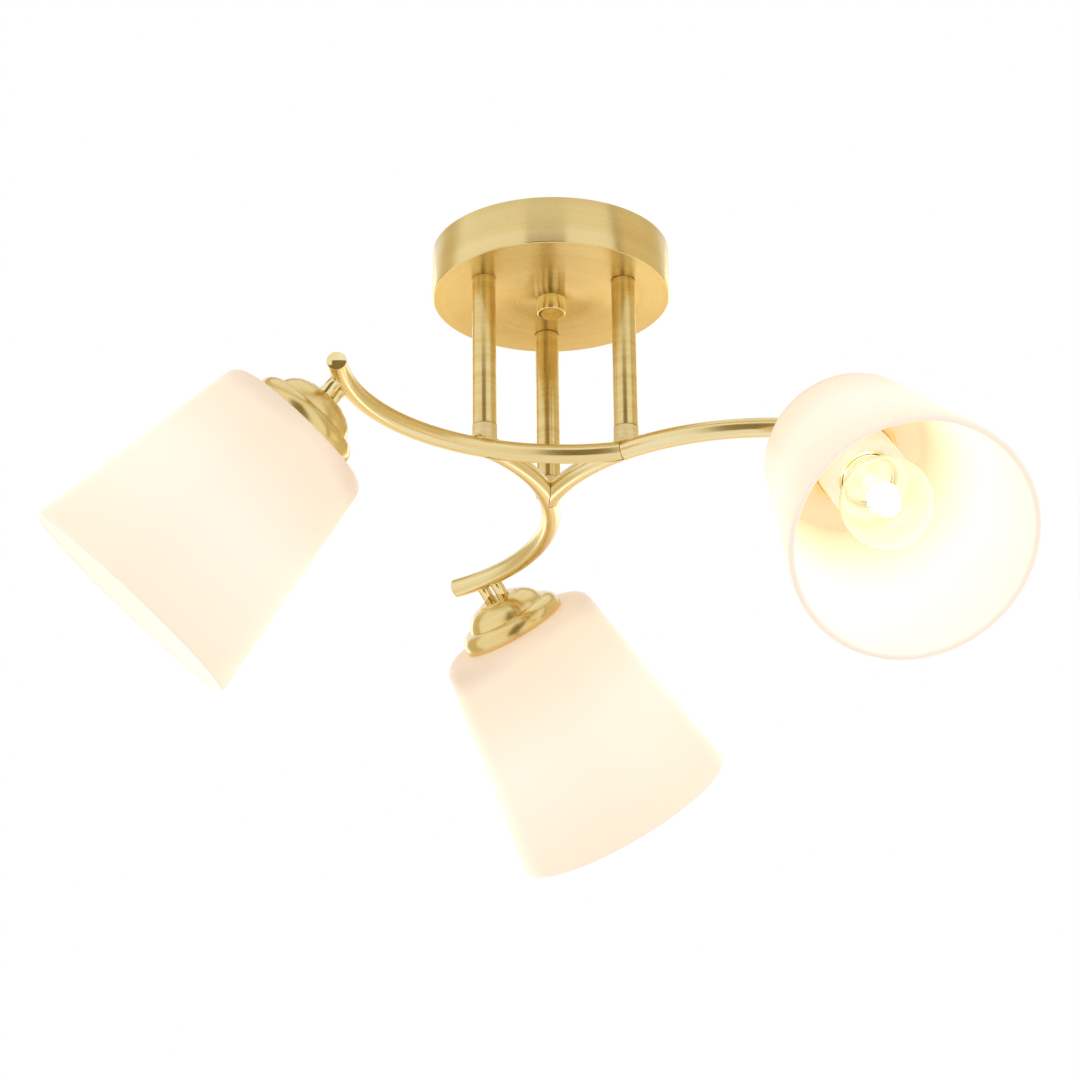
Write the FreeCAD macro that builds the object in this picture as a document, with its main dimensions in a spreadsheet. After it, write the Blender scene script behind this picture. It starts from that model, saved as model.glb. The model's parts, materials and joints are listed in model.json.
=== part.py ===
import FreeCAD, Part
import Sketcher
import math
import os

# Semi flush ceiling light with three heads. Millimetres. The origin is the middle of the
# ceiling plane, +Z points up, and the first arm leaves towards -X.

os.makedirs("parts", exist_ok=True)
doc = FreeCAD.newDocument("ceiling_light")
V = FreeCAD.Vector

SIZES = {
    # ceiling plate
    "canopy_diameter": 120.0,
    "canopy_height": 25.5,
    "canopy_wall": 1.2,
    "canopy_edge_radius": 0.8,
    "canopy_hole_clearance": 0.4,
    # mounting bracket, its stud and the nut that holds the canopy
    "bracket_length": 104.0,
    "bracket_width": 22.0,
    "bracket_thickness": 2.0,
    "slot_spacing": 80.0,
    "slot_length": 14.0,
    "slot_width": 5.2,
    "stud_diameter": 8.0,
    "lock_nut_across_flats": 13.0,
    "lock_nut_height": 4.0,
    "cap_nut_diameter": 14.0,
    "cap_nut_height": 8.0,
    "cap_nut_depth": 6.4,
    "cap_nut_dish": 0.8,
    "cap_nut_chamfer": 0.9,
    "nut_washer_diameter": 13.0,
    "nut_washer_thickness": 0.8,
    "thread_fit": 0.05,
    # earth terminal and terminal block on the bracket
    "earth_offset": 21.0,
    "earth_screw_diameter": 4.0,
    "earth_head_diameter": 7.6,
    "earth_head_height": 2.6,
    "earth_washer_diameter": 9.6,
    "earth_washer_thickness": 0.8,
    "block_offset": 20.0,
    "block_width": 17.0,
    "block_length": 30.0,
    "block_height": 13.0,
    "block_pole_spacing": 10.0,
    "block_row_spacing": 8.4,
    "block_well_diameter": 5.4,
    "block_well_depth": 6.0,
    "block_wire_hole": 3.4,
    "block_screw_diameter": 4.6,
    "block_screw_height": 3.6,
    # rods between canopy and arms
    "rod_circle_radius": 40.5,
    "rod_diameter": 12.0,
    "rod_wall": 1.0,
    "rod_length": 82.7,
    "nipple_bore": 7.0,
    "nipple_engagement": 10.0,
    "rod_nut_across_flats": 14.0,
    "rod_nut_height": 4.0,
    "rod_washer_diameter": 17.0,
    "rod_washer_thickness": 1.0,
    "nipple_rise": 1.5,
    "collar_diameter": 12.4,
    "collar_nipple_depth": 4.6,
    "collar_saddle_depth": 2.4,
    "collar_wire_hole": 6.4,
    # arms
    "arm_diameter": 9.6,
    "arm_wall": 1.0,
    "arm_drop": 11.6,
    "arm_bend_radius": 111.0,
    "arm_rod_angle": 109.0,
    "arm_end_angle": 174.0,
    "arm_cap_thickness": 1.0,
    "arm_cap_plug": 3.0,
    "braze_gap": 0.04,
    # heads
    "head_angle": 163.35,
    "head_tilt": 45.0,
    "post_diameter": 5.4,
    "post_spacing": 10.5,
    "post_reach": 12.3,
    "post_spigot_diameter": 4.0,
    "post_bore": 2.4,
    "post_nut_across_flats": 7.0,
    "post_nut_height": 3.2,
    "post_spigot_rise": 0.8,
    "cup_crown_diameter": 20.8,
    "cup_crown_bevel": 0.6,
    "cup_step_diameter": 24.8,
    "cup_step_height": 0.9,
    "cup_dome_diameter": 42.4,
    "cup_dome_height": 9.5,
    "cup_dome_radius": 13.5,
    "cup_neck_width": 1.1,
    "cup_flange_diameter": 56.2,
    "cup_flange_roll_height": 6.9,
    "cup_flange_radius": 6.8,
    "cup_height": 18.7,
    "cup_wall": 0.8,
    # lampholder
    "holder_diameter": 40.0,
    "holder_wall": 2.4,
    "holder_floor": 3.0,
    "holder_crown_diameter": 19.2,
    "holder_crown_height": 1.5,
    "holder_shoulder_diameter": 25.2,
    "holder_shoulder_height": 2.7,
    "holder_waist_diameter": 33.6,
    "holder_waist_height": 6.9,
    "holder_dome_height": 13.9,
    "holder_skirt_height": 11.9,
    "holder_chamber_diameter": 21.0,
    "holder_length": 56.9,
    "holder_bore": 29.0,
    "holder_socket_depth": 27.0,
    "holder_socket_floor": 4.0,
    "holder_mouth_chamfer": 0.8,
    "contact_rivet_diameter": 3.0,
    "contact_disc_diameter": 9.0,
    "contact_height": 1.2,
    "shell_length": 23.0,
    "shell_flange_diameter": 22.0,
    "shell_thread_start": 5.0,
    "shell_wall": 0.3,
    "thread_crest_diameter": 26.6,
    "thread_depth": 0.7,
    "thread_pitch": 3.629,
    "thread_turns": 4.0,
    # opal glass shade, its washer and its ring
    "shade_height": 117.5,
    "shade_mouth_diameter": 121.6,
    "shade_shoulder_diameter": 83.4,
    "shade_wall": 3.2,
    "shade_shoulder_radius": 7.5,
    "shade_lip_radius": 1.2,
    "shade_hole_diameter": 42.4,
    "flat_gap": 0.1,
    "ring_washer_thickness": 0.8,
    "ring_flange_diameter": 50.0,
    "ring_flange_thickness": 1.4,
    "ring_collar_diameter": 43.6,
    "ring_height": 10.0,
    # bulb
    "bulb_diameter": 44.6,
    "bulb_centre_from_contact": 55.7,
    "bulb_neck_diameter": 24.0,
    "bulb_neck_depth": 2.6,
    "bulb_neck_height": 26.2,
    "bulb_glass_wall": 0.7,
    "cap_crest_diameter": 26.4,
    "cap_wall": 0.35,
    "cap_length": 25.4,
    "cap_edge_height": 4.2,
    "cap_thread_start": 6.2,
    "tip_diameter": 10.0,
    "tip_height": 0.9,
    "insulator_diameter": 19.0,
    "insulator_height": 4.1,
    "insulator_plug": 2.0,
    "stem_disc_thickness": 0.8,
    "stem_diameter": 4.4,
    "stem_rise": 17.0,
    "lead_diameter": 0.6,
    "lead_length": 14.0,
    "lead_spread": 14.0,
    "filament_diameter": 0.7,
}

sheet = doc.addObject("Spreadsheet::Sheet", "sizes")
for row, (name, value) in enumerate(SIZES.items(), start=1):
    sheet.set("A%d" % row, name)
    sheet.set("B%d" % row, str(value))
    sheet.setAlias("B%d" % row, name)
doc.recompute()


class Size:
    """A length that knows its value and its formula in the sheet."""

    def __init__(self, value, text):
        self.value = float(value)
        self.text = text

    @staticmethod
    def of(other):
        return other if isinstance(other, Size) else Size(other, repr(float(other)))

    def __add__(self, other):
        other = Size.of(other)
        return Size(self.value + other.value, "(%s + %s)" % (self.text, other.text))

    def __sub__(self, other):
        other = Size.of(other)
        return Size(self.value - other.value, "(%s - %s)" % (self.text, other.text))

    def __mul__(self, other):
        other = Size.of(other)
        return Size(self.value * other.value, "(%s * %s)" % (self.text, other.text))

    def __truediv__(self, other):
        other = Size.of(other)
        return Size(self.value / other.value, "(%s / %s)" % (self.text, other.text))


def size(name):
    return Size(sheet.get(name), "sizes." + name)


def half(name):
    return size(name) / 2


ZERO = Size(0, "0")


def bind(item, prop, amount):
    amount = Size.of(amount)
    item.setExpression(prop, amount.text)


# ---- solids of revolution -------------------------------------------------------------
# An outline is a closed list of corners (radius, height). A third value turns the edge
# that leads to the corner into an arc: its radius, positive where the arc bulges to the
# right of the way, negative where it bulges to the left.


def arc_between(start, end, radius):
    chord = end - start
    middle = (start + end) * 0.5
    side = V(chord.y, -chord.x, 0).normalize()
    rise = math.sqrt(radius ** 2 - (chord.Length / 2) ** 2)
    centre = middle - side * math.copysign(rise, radius)
    first, last = (start, end) if radius > 0 else (end, start)
    angles = [math.atan2(p.y - centre.y, p.x - centre.x) for p in (first, last)]
    circle = Part.Circle(centre, V(0, 0, 1), abs(radius))
    return Part.ArcOfCircle(circle, angles[0], angles[1])


def draw_outline(sketch, outline):
    """Draws a closed outline with every corner and every arc tied to its formula."""
    corners = [V(corner[0].value, corner[1].value, 0) for corner in outline]
    edges = []
    ends = []
    rules = []
    formulas = []
    for i, corner in enumerate(corners):
        radius = outline[i][2] if len(outline[i]) > 2 else None
        if radius is None:
            edges.append(Part.LineSegment(corners[i - 1], corner))
            ends.append((1, 2))
            continue
        edges.append(arc_between(corners[i - 1], corner, radius.value))
        ends.append((1, 2) if radius.value > 0 else (2, 1))
        rules.append(Sketcher.Constraint("Radius", i, abs(radius.value)))
        formulas.append(radius.text if radius.value > 0 else "0 - " + radius.text)
    for i, (_, tail) in enumerate(ends):
        after = (i + 1) % len(ends)
        rules.append(Sketcher.Constraint("Coincident", i, tail, after, ends[after][0]))
        formulas.append(None)
        for axis, kind, amount in ((-2, "DistanceX", outline[i][0]), (-1, "DistanceY", outline[i][1])):
            if amount is ZERO:
                rules.append(Sketcher.Constraint("PointOnObject", i, tail, axis))
                formulas.append(None)
            else:
                rules.append(Sketcher.Constraint(kind, -1, 1, i, tail, amount.value))
                formulas.append(amount.text)
    sketch.addGeometry(edges, False)
    sketch.addConstraint(rules)
    for index, text in enumerate(formulas):
        if text:
            sketch.setExpression("Constraints[%d]" % index, text)


def origin_plane(body, role):
    return next(p for p in body.Origin.OriginFeatures if p.Role == role)


def turned(name, outline):
    body = doc.addObject("PartDesign::Body", name)
    sketch = body.newObject("Sketcher::SketchObject", name + "_outline")
    sketch.AttachmentSupport = (origin_plane(body, "XZ_Plane"), [""])
    sketch.MapMode = "FlatFace"
    draw_outline(sketch, outline)
    turn = body.newObject("PartDesign::Revolution", name + "_turn")
    turn.Profile = sketch
    turn.ReferenceAxis = (sketch, ["V_Axis"])
    turn.Angle = 360.0
    return body


def round_edge(body, radius, height, fillet):
    """Rounds the circular edge of that radius at that height."""
    body.recompute(True)
    base = body.Tip
    names = []
    for i, edge in enumerate(base.Shape.Edges, start=1):
        curve = edge.Curve
        if not isinstance(curve, Part.Circle) or len(edge.Vertexes) > 1:
            continue
        if abs(curve.Radius - radius.value) < 1e-4 and abs(curve.Center.z - height.value) < 1e-4:
            names.append("Edge%d" % i)
    item = body.newObject("PartDesign::Fillet", body.Name + "_round")
    item.Base = (base, names)
    bind(item, "Radius", fillet)


def ring(inner, outer, low, high):
    return [(inner, low), (outer, low), (outer, high), (inner, high)]


# ---- plain solids ---------------------------------------------------------------------


def cylinder(name, diameter, height, at=()):
    item = doc.addObject("Part::Cylinder", name)
    bind(item, "Radius", diameter / 2)
    bind(item, "Height", height)
    for axis, amount in zip("xyz", at):
        bind(item, "Placement.Base." + axis, amount)
    return item


def block(name, length, width, height, middle, low):
    item = doc.addObject("Part::Box", name)
    bind(item, "Length", length)
    bind(item, "Width", width)
    bind(item, "Height", height)
    bind(item, "Placement.Base.x", middle[0] - length / 2)
    bind(item, "Placement.Base.y", middle[1] - width / 2)
    bind(item, "Placement.Base.z", low)
    return item


def hexagon(name, across_flats, height, at):
    item = doc.addObject("Part::Prism", name)
    item.Polygon = 6
    bind(item, "Circumradius", across_flats / math.sqrt(3))
    bind(item, "Height", height)
    for axis, amount in zip("xyz", at):
        bind(item, "Placement.Base." + axis, amount)
    return item


def fuse(name, items):
    result = doc.addObject("Part::MultiFuse", name)
    result.Shapes = items
    return result


def cut(name, base, tools):
    result = doc.addObject("Part::Cut", name)
    result.Base = base
    result.Tool = tools[0] if len(tools) == 1 else fuse(name + "_tools", tools)
    return result


def group(name, items):
    result = doc.addObject("Part::Compound", name)
    result.Links = items
    return result


# ---- where things are -----------------------------------------------------------------

NODES = []
HEADS = (1, 2, 3)
HEAD_TURN = {1: 0.0, 2: -120.0, 3: 120.0}
HANGING = FreeCAD.Rotation(V(1, 0, 0), 180)  # heights count downwards from the ceiling
CEILING = FreeCAD.Placement(V(0, 0, 0), HANGING)


def keep(item, node, place=FreeCAD.Placement()):
    item.Label = node
    item.Placement = place
    NODES.append(item)


def about_z(angle):
    return FreeCAD.Placement(V(0, 0, 0), FreeCAD.Rotation(V(0, 0, 1), angle))


def polar(radius, angle, height=0.0):
    turn = math.radians(angle)
    return V(radius * math.cos(turn), radius * math.sin(turn), height)


arm_depth = size("canopy_height") + size("rod_length") + size("arm_drop")
bend = size("arm_bend_radius").value
rod_foot = polar(size("rod_circle_radius").value, 210)
arm_centre = rod_foot - polar(bend, size("arm_rod_angle").value) - V(0, 0, arm_depth.value)


def arm_start_angle():
    """Where the arc of an arm crosses the arc of the arm that it is butted on."""
    reach = math.hypot(arm_centre.x, arm_centre.y)
    towards = math.degrees(math.atan2(arm_centre.y, arm_centre.x)) + 60
    inset = math.sqrt(bend ** 2 - (reach * math.sin(math.radians(60))) ** 2)
    crossing = polar(reach * math.cos(math.radians(60)) - inset, towards)
    return math.degrees(math.atan2(crossing.y - arm_centre.y, crossing.x - arm_centre.x))


def hanging_at(point):
    return FreeCAD.Placement(V(point.x, point.y, 0), HANGING)


def rod_place(head):
    return hanging_at(about_z(HEAD_TURN[head]).multVec(rod_foot))


def arm_place(head, angle):
    start = FreeCAD.Placement(arm_centre, FreeCAD.Rotation(V(0, 0, 1), angle))
    return about_z(HEAD_TURN[head]) * start


def head_place(head):
    """Origin on the arm's centre line, Z out along the shade, X along the arm."""
    angle = size("head_angle").value
    tilt = math.radians(size("head_tilt").value)
    outwards = polar(1, angle)
    axis = outwards * math.sin(tilt) - V(0, 0, math.cos(tilt))
    along = polar(1, angle + 90)
    rotation = FreeCAD.Rotation(along, axis.cross(along), axis, "ZXY")
    place = FreeCAD.Placement(arm_centre + polar(bend, angle), rotation)
    return about_z(HEAD_TURN[head]) * place


def arm_solid(name, head, diameter, first, last):
    item = doc.addObject("Part::Torus", name)
    bind(item, "Radius1", size("arm_bend_radius"))
    bind(item, "Radius2", diameter / 2)
    item.Angle3 = last - first
    item.Placement = arm_place(head, first)
    return item


# ---- ceiling plate and bracket --------------------------------------------------------


def make_canopy():
    outer = half("canopy_diameter")
    wall = size("canopy_wall")
    depth = size("canopy_height")
    hole = half("stud_diameter") + size("canopy_hole_clearance")
    outline = [(hole, depth - wall), (outer - wall, depth - wall), (outer - wall, ZERO),
               (outer, ZERO), (outer, depth), (hole, depth)]
    shell = turned("canopy_shell", outline)
    round_edge(shell, outer, depth, size("canopy_edge_radius"))
    nipple = size("rod_diameter") - size("rod_wall") * 2
    tools = []
    for head in HEADS:
        tool = cylinder("canopy_rod_hole%d" % head, nipple + size("canopy_hole_clearance"), depth * 2)
        tool.Placement = CEILING.inverse() * rod_place(head)
        tools.append(tool)
    keep(cut("canopy", shell, tools), "canopy", CEILING)


def slot_tool(name, side):
    width = size("slot_width")
    straight = size("slot_length") - width
    middle = size("slot_spacing") / 2 * side
    deep = size("bracket_thickness") * 3
    low = size("bracket_thickness") * -1
    parts = [block(name + "_middle", straight, width, deep, (middle, ZERO), low)]
    for end in (-1, 1):
        at = (middle + straight / 2 * end, ZERO, low)
        parts.append(cylinder("%s_end%d" % (name, end + 1), width, deep, at))
    return fuse(name, parts)


def make_bracket():
    thick = size("bracket_thickness")
    strap = block("strap", size("bracket_length"), size("bracket_width"), thick, (ZERO, ZERO), ZERO)
    low = thick * -1
    fit = size("thread_fit") * 2
    tools = [slot_tool("slot_left", -1), slot_tool("slot_right", 1),
             cylinder("stud_hole", size("stud_diameter") + fit, thick * 3, (ZERO, ZERO, low)),
             cylinder("earth_hole", size("earth_screw_diameter") + fit, thick * 3,
                      (size("earth_offset") * -1, ZERO, low))]
    keep(cut("mounting_bracket", strap, tools), "mounting_bracket", CEILING)

    reach = size("nut_washer_thickness") + size("cap_nut_depth") - size("cap_nut_chamfer")
    depth = size("canopy_height") + reach
    stud = cylinder("bracket_stud", size("stud_diameter"), depth)
    keep(stud, "bracket_stud", CEILING)

    nut = hexagon("lock_nut_blank", size("lock_nut_across_flats"), size("lock_nut_height"),
                  (ZERO, ZERO, thick))
    bore = cylinder("lock_nut_bore", size("stud_diameter") + fit, depth)
    keep(cut("stud_lock_nut", nut, [bore]), "stud_lock_nut", CEILING)

    place = hanging_at(V(size("earth_offset").value * -1, 0, 0))
    washer_low = thick
    head_low = thick + size("earth_washer_thickness")
    washer = turned("earth_washer", ring(half("earth_screw_diameter") + size("thread_fit"),
                                         half("earth_washer_diameter"), washer_low, head_low))
    screw = turned("earth_screw", [(ZERO, ZERO), (half("earth_screw_diameter"), ZERO),
                                   (half("earth_screw_diameter"), head_low),
                                   (half("earth_head_diameter"), head_low),
                                   (half("earth_head_diameter"), head_low + size("earth_head_height")),
                                   (ZERO, head_low + size("earth_head_height"))])
    keep(group("earth_terminal", [washer, screw]), "earth_terminal", place)


def make_terminal_block():
    low = size("bracket_thickness")
    high = low + size("block_height")
    at = size("block_offset")
    body = block("block_body", size("block_width"), size("block_length"), size("block_height"),
                 (at, ZERO), low)
    wells = []
    screws = []
    wire_holes = []
    well_low = high - size("block_well_depth")
    for pole in (-1, 0, 1):
        y = size("block_pole_spacing") * pole
        for side in (-1, 1):
            x = at + half("block_row_spacing") * side
            name = "%d_%d" % (pole + 1, side + 1)
            wells.append(cylinder("well" + name, size("block_well_diameter"), size("block_height"),
                                  (x, y, well_low)))
            screws.append(cylinder("clamp_screw" + name, size("block_screw_diameter"),
                                   size("block_screw_height"), (x, y, well_low)))
        hole = doc.addObject("Part::Cylinder", "wire_hole%d" % (pole + 1))
        bind(hole, "Radius", half("block_wire_hole"))
        bind(hole, "Height", size("block_width") * 2)
        hole.Placement.Rotation = FreeCAD.Rotation(V(0, 1, 0), 90)
        bind(hole, "Placement.Base.x", at - size("block_width"))
        bind(hole, "Placement.Base.y", y)
        bind(hole, "Placement.Base.z", well_low - size("block_wire_hole"))
        wire_holes.append(hole)
    keep(cut("terminal_block", body, wells + wire_holes), "terminal_block", CEILING)
    keep(group("terminal_screws", screws), "terminal_screws", CEILING)


def make_canopy_nut():
    top = size("canopy_height")
    washer_low = top + size("nut_washer_thickness")
    bore = half("stud_diameter") + size("thread_fit")
    washer = turned("canopy_nut_washer", ring(bore + size("canopy_hole_clearance"),
                                              half("nut_washer_diameter"), top, washer_low))
    keep(washer, "canopy_nut_washer", CEILING)
    start = washer_low + size("flat_gap")
    outer = half("cap_nut_diameter")
    chamfer = size("cap_nut_chamfer")
    end = start + size("cap_nut_height")
    outline = [(ZERO, start + size("cap_nut_depth")), (bore, start + size("cap_nut_depth")), (bore, start),
               (outer, start), (outer, end - chamfer), (outer - chamfer, end),
               (outer - chamfer * 2, end), (ZERO, end - size("cap_nut_dish"))]
    keep(turned("canopy_nut", outline), "canopy_nut", CEILING)


# ---- rods and collars -----------------------------------------------------------------


def make_rods():
    top = size("canopy_height")
    foot = top + size("rod_length")
    bore = half("rod_diameter") - size("rod_wall")
    thread = bore - size("thread_fit")
    floor = top - size("canopy_wall")
    washer_top = floor - size("rod_washer_thickness")
    nut_top = washer_top - size("rod_nut_height")
    uppers = []
    lowers = []
    nuts = []
    washers = []
    for head in HEADS:
        place = rod_place(head)
        rod = turned("rod_tube%d" % head, ring(bore, half("rod_diameter"), top, foot))
        keep(rod, "rod_%d" % head, place)

        upper = turned("upper_nipple%d" % head, ring(half("nipple_bore"), thread,
                                                     nut_top - size("nipple_rise"),
                                                     top + size("nipple_engagement")))
        lower = turned("lower_nipple%d" % head, ring(half("nipple_bore"), thread,
                                                     foot - size("nipple_engagement"),
                                                     foot + size("collar_nipple_depth")))
        washer = turned("rod_washer%d" % head, ring(bore + size("thread_fit"), half("rod_washer_diameter"),
                                                    washer_top, floor))
        blank = hexagon("rod_nut_blank%d" % head, size("rod_nut_across_flats"), size("rod_nut_height"),
                        (ZERO, ZERO, nut_top))
        hole = cylinder("rod_nut_hole%d" % head, bore * 2, foot)
        nut = cut("rod_nut%d" % head, blank, [hole])
        for item, items in ((upper, uppers), (lower, lowers), (washer, washers), (nut, nuts)):
            item.Placement = place
            items.append(item)
    keep(group("rod_nipples", uppers), "rod_nipples")
    keep(group("collar_nipples", lowers), "collar_nipples")
    keep(group("rod_lock_washers", washers), "rod_lock_washers")
    keep(group("rod_lock_nuts", nuts), "rod_lock_nuts")


def next_head(head):
    """The head whose arm is butted on this head's arm."""
    return head % 3 + 1


def make_collars(start_angle):
    foot = size("canopy_height") + size("rod_length")
    bottom = arm_depth - half("arm_diameter") + size("collar_saddle_depth")
    bore = half("rod_diameter") - size("rod_wall")
    step = foot + size("collar_nipple_depth") + size("flat_gap")
    wire = half("collar_wire_hole")
    saddle = size("arm_diameter") + size("braze_gap") * 2
    end_angle = size("arm_end_angle").value
    for head in HEADS:
        outline = [(bore, foot), (half("collar_diameter"), foot), (half("collar_diameter"), bottom),
                   (wire, bottom), (wire, step), (bore, step)]
        blank = turned("collar_blank%d" % head, outline)
        blank.Placement = rod_place(head)
        tools = [arm_solid("saddle%d_%d" % (head, owner), owner, saddle, start_angle, end_angle)
                 for owner in (head, next_head(head))]
        keep(cut("collar%d" % head, blank, tools), "collar_%d" % head)


# ---- arms -----------------------------------------------------------------------------


def make_arms(start_angle):
    diameter = size("arm_diameter")
    bore = diameter - size("arm_wall") * 2
    cap_angle = math.degrees(size("arm_cap_thickness").value / bend)
    plug_angle = math.degrees(size("arm_cap_plug").value / bend)
    end_angle = size("arm_end_angle").value
    tube_end = end_angle - cap_angle
    caps = []
    for head in HEADS:
        outer = arm_solid("arm_outer%d" % head, head, diameter, start_angle, tube_end)
        inner = arm_solid("arm_inner%d" % head, head, bore, start_angle, tube_end)
        carrier = next(other for other in HEADS if next_head(other) == head)
        cope = arm_solid("arm_cope%d" % head, carrier, diameter + size("braze_gap") * 2,
                         start_angle, end_angle)
        wire_hole = cylinder("arm_wire_hole%d" % head, size("collar_wire_hole"), half("arm_diameter") * 2)
        foot = about_z(HEAD_TURN[head]).multVec(rod_foot)
        wire_hole.Placement.Base = V(foot.x, foot.y, -arm_depth.value)
        tools = [inner, cope, wire_hole]
        for side in (-1, 1):
            post_hole = cylinder("arm_post_hole%d_%d" % (head, side + 1), size("post_bore"),
                                 size("post_reach"))
            at = FreeCAD.Placement(V(size("post_spacing").value / 2 * side, 0, 0), FreeCAD.Rotation())
            post_hole.Placement = head_place(head) * at
            tools.append(post_hole)
        keep(cut("arm%d" % head, outer, tools), "arm_%d" % head)

        disc = arm_solid("cap_disc%d" % head, head, diameter, tube_end, end_angle)
        plug = arm_solid("cap_plug%d" % head, head, bore - size("thread_fit") * 2,
                         tube_end - plug_angle, tube_end)
        caps.append(fuse("arm_cap%d" % head, [disc, plug]))
    keep(group("arm_end_caps", caps), "arm_end_caps")


# ---- heads ----------------------------------------------------------------------------

cup_top = size("post_reach")
cup_floor = cup_top + size("cup_wall")
cup_rim = cup_top + size("cup_height")
shade_top = cup_rim + size("flat_gap")
holder_mouth = cup_floor + size("holder_length")
socket_floor = holder_mouth - size("holder_socket_depth")
contact_plane = socket_floor + size("contact_height") + size("flat_gap")
bulb_centre = contact_plane + size("bulb_centre_from_contact")


def post_holes(name, diameter):
    low = cup_top - size("cup_wall")
    deep = size("cup_wall") * 3 + size("holder_floor")
    return [cylinder("%s_post_hole%d" % (name, side + 1), diameter, deep,
                     (half("post_spacing") * side, ZERO, low)) for side in (-1, 1)]


def make_posts(head, start_angle):
    shaft = []
    bores = []
    spigot = size("cup_wall") + size("holder_floor") + size("post_nut_height") + size("post_spigot_rise")
    for side in (-1, 1):
        x = half("post_spacing") * side
        name = "%d_%d" % (head, side + 1)
        body = cylinder("post_body" + name, size("post_diameter"), cup_top, (x, ZERO, ZERO))
        end = cylinder("post_spigot" + name, size("post_spigot_diameter"), spigot, (x, ZERO, cup_top))
        shaft += [body, end]
        bores.append(cylinder("post_bore" + name, size("post_bore"), cup_top + spigot, (x, ZERO, ZERO)))
    saddle = arm_solid("post_saddle%d" % head, head, size("arm_diameter") + size("braze_gap") * 2,
                       start_angle, size("arm_end_angle").value)
    saddle.Placement = head_place(head).inverse() * saddle.Placement
    posts = cut("posts%d" % head, fuse("post_pair%d" % head, shaft), [saddle] + bores)
    keep(posts, "posts_%d" % head, head_place(head))


def make_cup(head):
    wall = size("cup_wall")
    crown = half("cup_crown_diameter")
    bevel = size("cup_crown_bevel")
    step = half("cup_step_diameter")
    ledge = cup_top + size("cup_step_height")
    dome = half("cup_dome_diameter")
    shoulder = cup_top + size("cup_dome_height")
    neck = dome + size("cup_neck_width")
    flange = half("cup_flange_diameter")
    roll = shoulder + size("cup_flange_roll_height")
    outline = [(ZERO, cup_top), (crown, cup_top), (crown + bevel, cup_top + bevel), (step, ledge),
               (dome, shoulder, size("cup_dome_radius")), (neck, shoulder),
               (flange, roll, size("cup_flange_radius")), (flange, cup_rim), (flange - wall, cup_rim),
               (flange - wall, roll), (neck, shoulder + wall, (size("cup_flange_radius") - wall) * -1),
               (dome - wall, shoulder + wall), (dome - wall, shoulder),
               (step - wall / 2, ledge + wall, (size("cup_dome_radius") - wall) * -1),
               (crown, ledge + wall / 2), (crown, cup_floor), (ZERO, cup_floor)]
    shell = turned("cup_shell%d" % head, outline)
    holes = post_holes("cup%d" % head, size("post_spigot_diameter") + size("thread_fit") * 2)
    keep(cut("cup%d" % head, shell, holes), "cup_%d" % head, head_place(head))


def make_holder_dome(head):
    outer = half("holder_diameter")
    wall = size("holder_wall")
    top = cup_floor
    floor = top + size("holder_floor")
    seam = top + size("holder_dome_height")
    crown = half("holder_crown_diameter")
    chamber = half("holder_chamber_diameter")
    skirt = top + size("holder_skirt_height")
    outline = [(ZERO, top), (crown, top), (crown, top + size("holder_crown_height")),
               (half("holder_shoulder_diameter"), top + size("holder_shoulder_height")),
               (half("holder_waist_diameter"), top + size("holder_waist_height")),
               (outer, skirt), (outer, seam), (outer - wall, seam), (outer - wall, skirt),
               (chamber, floor + size("holder_crown_height")), (chamber, floor), (ZERO, floor)]
    shell = turned("holder_dome_shell%d" % head, outline)
    holes = post_holes("dome%d" % head, size("post_spigot_diameter") + size("thread_fit") * 2)
    dome = cut("holder_dome%d" % head, shell, holes)
    dome.Placement = head_place(head)
    return dome


def make_holder_nuts(head):
    low = cup_floor + size("holder_floor")
    nuts = []
    for side in (-1, 1):
        x = half("post_spacing") * side
        name = "%d_%d" % (head, side + 1)
        blank = hexagon("post_nut_blank" + name, size("post_nut_across_flats"), size("post_nut_height"),
                        (x, ZERO, low))
        hole = cylinder("post_nut_hole" + name, size("post_spigot_diameter") + size("thread_fit") * 2,
                        size("post_nut_height") * 3, (x, ZERO, low - size("post_nut_height")))
        nut = cut("post_nut" + name, blank, [hole])
        nut.Placement = head_place(head)
        nuts.append(nut)
    return nuts


def make_lampholder(head):
    outer = half("holder_diameter")
    wall = size("holder_wall")
    bore = half("holder_bore")
    chamfer = size("holder_mouth_chamfer")
    seam = cup_floor + size("holder_dome_height")
    back = socket_floor - size("holder_socket_floor")
    rivet = half("contact_rivet_diameter") + size("thread_fit")
    outline = [(outer - wall, seam), (outer, seam), (outer, holder_mouth - chamfer),
               (outer - chamfer, holder_mouth), (bore, holder_mouth),
               (bore, socket_floor), (rivet, socket_floor), (rivet, back), (outer - wall, back)]
    keep(turned("lampholder_barrel%d" % head, outline), "lampholder_%d" % head, head_place(head))


def make_contact(head):
    back = socket_floor - size("holder_socket_floor")
    rivet = half("contact_rivet_diameter")
    disc = half("contact_disc_diameter")
    outline = [(ZERO, back), (rivet, back), (rivet, socket_floor), (disc, socket_floor),
               (disc, socket_floor + size("contact_height") / 2),
               (rivet, socket_floor + size("contact_height")), (ZERO, socket_floor + size("contact_height"))]
    contact = turned("socket_contact%d" % head, outline)
    contact.Placement = head_place(head)
    return contact


def thread_wave(mean, start, outwards, bulge):
    """Corners of a rounded thread: half waves of one pitch each, on both sides of the mean radius."""
    corners = []
    pitch = size("thread_pitch")
    halves = int(SIZES["thread_turns"]) * 2
    for i in range(1, halves + 1):
        count = i if outwards else halves - i
        lean = 1 if i % 2 else -1
        corners.append((mean, start + pitch / 2 * count, bulge * lean))
    return corners


def wave_radius():
    chord = size("thread_pitch") / 2
    rise = size("thread_depth") / 2
    return chord * chord / (rise * 8) + rise / 2


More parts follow.
